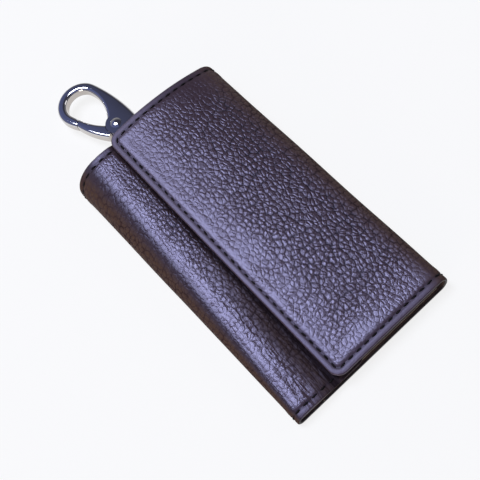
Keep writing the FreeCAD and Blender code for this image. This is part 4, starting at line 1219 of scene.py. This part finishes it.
back_last, left_last = (sheet.along[1] - FIRST_STITCH for sheet in (back_sheet, left_sheet))
flap_lines = [three_sided_line(flap_sheet, flap_total)]
wing_lines = short_end_lines(wing_sheet, WING_LAST_STITCH)
back_lines = short_end_lines(back_sheet, back_last, PRESSED_THREAD_DEPTH)
left_lines = short_end_lines(left_sheet, left_last, PRESSED_THREAD_DEPTH)
for name, lines, joint_name in (
    ("flap_stitches", flap_lines, "flap_upper_fold"),
    ("wing_stitches", wing_lines, "wing_upper_fold"),
    ("back_stitches", back_lines, "flap_lower_fold"),
    ("left_stitches", left_lines, "wing_lower_fold"),
):
    row = sew(name, lines)
    bend_over(row, joint_name)

# %% [markdown]
# The folded strap
#
# A narrow leather strap holds the clasp. It goes round the bar of the swivel eye and its two ends lie on
# each other under a rivet. It could be two flat pieces and a ring, but one strip along a bent line, made
# with the sheet builder, shows both plies and the loop without a joint between them.

# %% The line that the strap follows
STRAP_THICK = 1.2
STRAP_HALF_WIDTH = 4.0
PLY_GAP = 0.04
PLY_POINTS = 24
LOOP_POINTS = 17
LOOP_INSIDE = 1.3
UNDERSIDE = -3.15
LOOP = LOOP_INSIDE + STRAP_THICK / 2
LOWER_PLY = UNDERSIDE + STRAP_THICK / 2
TAIL_END = -16.163
TAIL_STEP = 0.25
PLIES_MEET = -6.6
clasp_joint = joints["clasp_tilt"]
clasp_right = np.array(clasp_joint["axis"]) / np.linalg.norm(clasp_joint["axis"])
clasp_ahead = np.array([-clasp_right[1], clasp_right[0], 0.0])
clasp_middle = np.array(clasp_joint["pos_m"]) / MM


def strap_line():
    """The strap's middle line, seen from the side: ahead and up from the eye's bar."""
    lower = [(ahead, LOWER_PLY) for ahead in np.linspace(TAIL_END, PLIES_MEET, PLY_POINTS)]
    dip = [(-5.0, LOWER_PLY + 0.06), (-3.4, LOWER_PLY + 0.22), (-1.7, -LOOP + 0.02)]
    angles = np.linspace(-math.pi / 2, math.pi / 2, LOOP_POINTS)
    turn = [(LOOP * math.cos(angle), LOOP * math.sin(angle)) for angle in angles]
    rise = [(-1.35, LOOP - 0.05), (-2.6, LOOP - 0.75), (-3.9, LOWER_PLY + 2.05), (-5.2, LOWER_PLY + 1.42)]
    upper_ply = LOWER_PLY + STRAP_THICK + PLY_GAP
    upper = [(ahead, upper_ply) for ahead in np.linspace(PLIES_MEET, TAIL_END + TAIL_STEP, PLY_POINTS)]
    return np.array(lower + dip + turn + rise + upper)


strap_points = strap_line()
strap_steps = np.hypot(*np.diff(strap_points, axis=0).T)
strap_reach = np.concatenate([[0.0], np.cumsum(strap_steps)])
print("strap:", round(strap_reach[-1], 1), "mm long when it is laid flat")

# %% The strap
STRAP_STEP = 0.25
STRAP_COLUMNS = 90
STRAP_ROWS = 14


def on_strap(along, column):
    """The strap's line at distances along it: column 0 is ahead, column 1 is up."""
    return np.interp(along, strap_reach, strap_points[:, column])


def strap_place(along, across, depth):
    """A point of the strap: along its line, across its width, and depth inwards from its outer face."""
    way_ahead = on_strap(along + STRAP_STEP, 0) - on_strap(along - STRAP_STEP, 0)
    way_up = on_strap(along + STRAP_STEP, 1) - on_strap(along - STRAP_STEP, 1)
    size = np.hypot(way_ahead, way_up)
    out = STRAP_THICK / 2 - depth
    ahead = on_strap(along, 0) + out * way_up / size
    up = on_strap(along, 1) - out * way_ahead / size
    place = clasp_middle + ahead[:, None] * clasp_ahead + across[:, None] * clasp_right
    place[:, 2] += up
    return place


strap_sheet = Sheet(
    strap_place,
    (0.0, strap_reach[-1]),
    (-STRAP_HALF_WIDTH, STRAP_HALF_WIDTH),
    STRAP_THICK - PLY_GAP,
    roundness=0.3,
    corner=1.0,
    seams=(False, False),
)
strap_grid = [np.linspace(0.0, 1.0, count) for count in (STRAP_COLUMNS, STRAP_ROWS)]
strap_piece = strap_sheet.build("strap_strip", *strap_grid, (strap_hide, edge_paint, strap_hide))
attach(strap_piece, "strap")
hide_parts("clasp_strap")

# %% [markdown]
# Metal
#
# The clasp is cast and bright chromed. The hook bar and the press studs are nickel. Polished metal is all
# reflection, so the finishes differ in colour and in how far they blur, and both change slowly with the
# noise. A fine noise in the blur would make the metal look like stone. Where the piece's own normal lies
# level, on the upright sides of a casting, the chrome has a duller, warmer tone: a painted reflection of
# the pale floor.

# %% Metal finishes, with the counts of their spots for each metre
TINTS = 140.0
RUBBED_SPOTS = 170.0


def metal(name, low, high, dull_low, dull_high, wall_reflection=None):
    """A metal whose colour and polish change slowly, and which may have a painted floor reflection on its
    upright sides.
    """
    finish, tree, shader = new_finish(name)
    own = add(tree, "ShaderNodeTexCoord").outputs
    colour = blend_colours(tree, noise(tree, own["Object"], TINTS), low, high)
    # Painted reflection: where the normal lies level, the colour turns to a warmer, duller tone, as of the
    # floor.
    if wall_reflection:
        facing = add(tree, "ShaderNodeSeparateXYZ", {0: own["Normal"]}).outputs["Z"]
        level = reckon(tree, "ABSOLUTE", facing, 0.0)
        colour = blend_colours(tree, ranged(tree, level, 0.10, 0.55), wall_reflection, colour)
    polish = ranged(tree, noise(tree, own["Object"], RUBBED_SPOTS, 1.0), 0.3, 0.7, dull_low, dull_high)
    dress(tree, shader, Base_Color=colour, Roughness=polish, Metallic=1.0)
    return finish


# Painted reflection of the pale floor, on the clasp's upright sides.
painted_wall_reflection = (0.50, 0.46, 0.43, 1)
chrome = metal("bright_chrome", (0.72, 0.72, 0.75, 1), (0.80, 0.80, 0.82, 1), 0.06, 0.08, painted_wall_reflection)
nickel = metal("satin_nickel", (0.66, 0.63, 0.58, 1), (0.73, 0.70, 0.64, 1), 0.20, 0.23)
spring_steel = metal("spring_steel", (0.48, 0.48, 0.50, 1), (0.56, 0.56, 0.58, 1), 0.24, 0.28)
board_stuff = mottled(
    "grey_board",
    (0.26, 0.22, 0.18, 1),
    (0.36, 0.31, 0.25, 1),
    spot=260.0,
    dull=0.9,
    relief=0.06,
    fine=1800.0,
    map_name="Object",
)
print("metal finishes:", chrome.name, nickel.name, spring_steel.name)

# %% Give the hard nodes their finish
FINISH_OF_NODE = {
    "clasp_eye": chrome,
    "trigger_pin": chrome,
    "trigger_spring": spring_steel,
    "back_board": board_stuff,
}
for name, thing in node_objects.items():
    hard_finish = spring_steel if name.startswith("hook_gate") else FINISH_OF_NODE.get(name, nickel)
    for slot in thing.material_slots:
        slot.material = hard_finish
print("finished", len(node_objects), "plain nodes")

# %% [markdown]
# The polished clasp
#
# A cast and tumbled clasp has no sharp edge left on it. The plain pieces have some, and their faces are
# loose triangles. So each is copied and merged, its flat faces are joined, its sharp edges are bevelled by
# a few tenths of a millimetre, and it is shaded smooth, so that reflections run on over the round rims. The
# copy is merged first, because a bevel on loose triangles finds no edge between two faces.

# %% The clasp's body and trigger
SHARP = math.radians(32.0)
FLAT = math.radians(0.4)
SAME_POINT = 0.002 * MM
ROUNDING = {"offset": 0.22 * MM, "segments": 3, "profile": 0.5, "affect": "EDGES", "clamp_overlap": True}


def polished(name, node):
    """A merged and softened copy of a hard node."""
    mesh = node_objects[node].data.copy()
    mesh.name = name
    merged = bmesh.new()
    merged.from_mesh(mesh)
    bmesh.ops.remove_doubles(merged, verts=merged.verts, dist=SAME_POINT)
    bmesh.ops.dissolve_limit(merged, angle_limit=FLAT, verts=merged.verts, edges=merged.edges)
    sharp = [edge for edge in merged.edges if edge.is_manifold and edge.calc_face_angle() > SHARP]
    bmesh.ops.bevel(merged, geom=sharp, **ROUNDING)
    bmesh.ops.recalc_face_normals(merged, faces=merged.faces)
    merged.to_mesh(mesh)
    merged.free()
    mesh.materials.clear()
    mesh.materials.append(chrome)
    mesh.polygons.foreach_set("use_smooth", np.ones(len(mesh.polygons), dtype=bool))
    mesh.set_sharp_from_angle(angle=SHARP)
    piece = new_object(name, mesh)
    weighting = piece.modifiers.new("flat_faces_lead", "WEIGHTED_NORMAL")
    weighting.keep_sharp = True
    ready = piece.evaluated_get(bpy.context.evaluated_depsgraph_get())
    piece.data = bpy.data.meshes.new_from_object(ready)
    piece.modifiers.remove(weighting)
    print(name, "faces:", len(piece.data.polygons), "softened edges:", len(sharp))
    return piece


for name, node, body in (
    ("bright_body", "clasp_body", "clasp"),
    ("bright_trigger", "clasp_trigger", "trigger"),
):
    casting = polished(name, node)
    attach(casting, body)
    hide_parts(node)
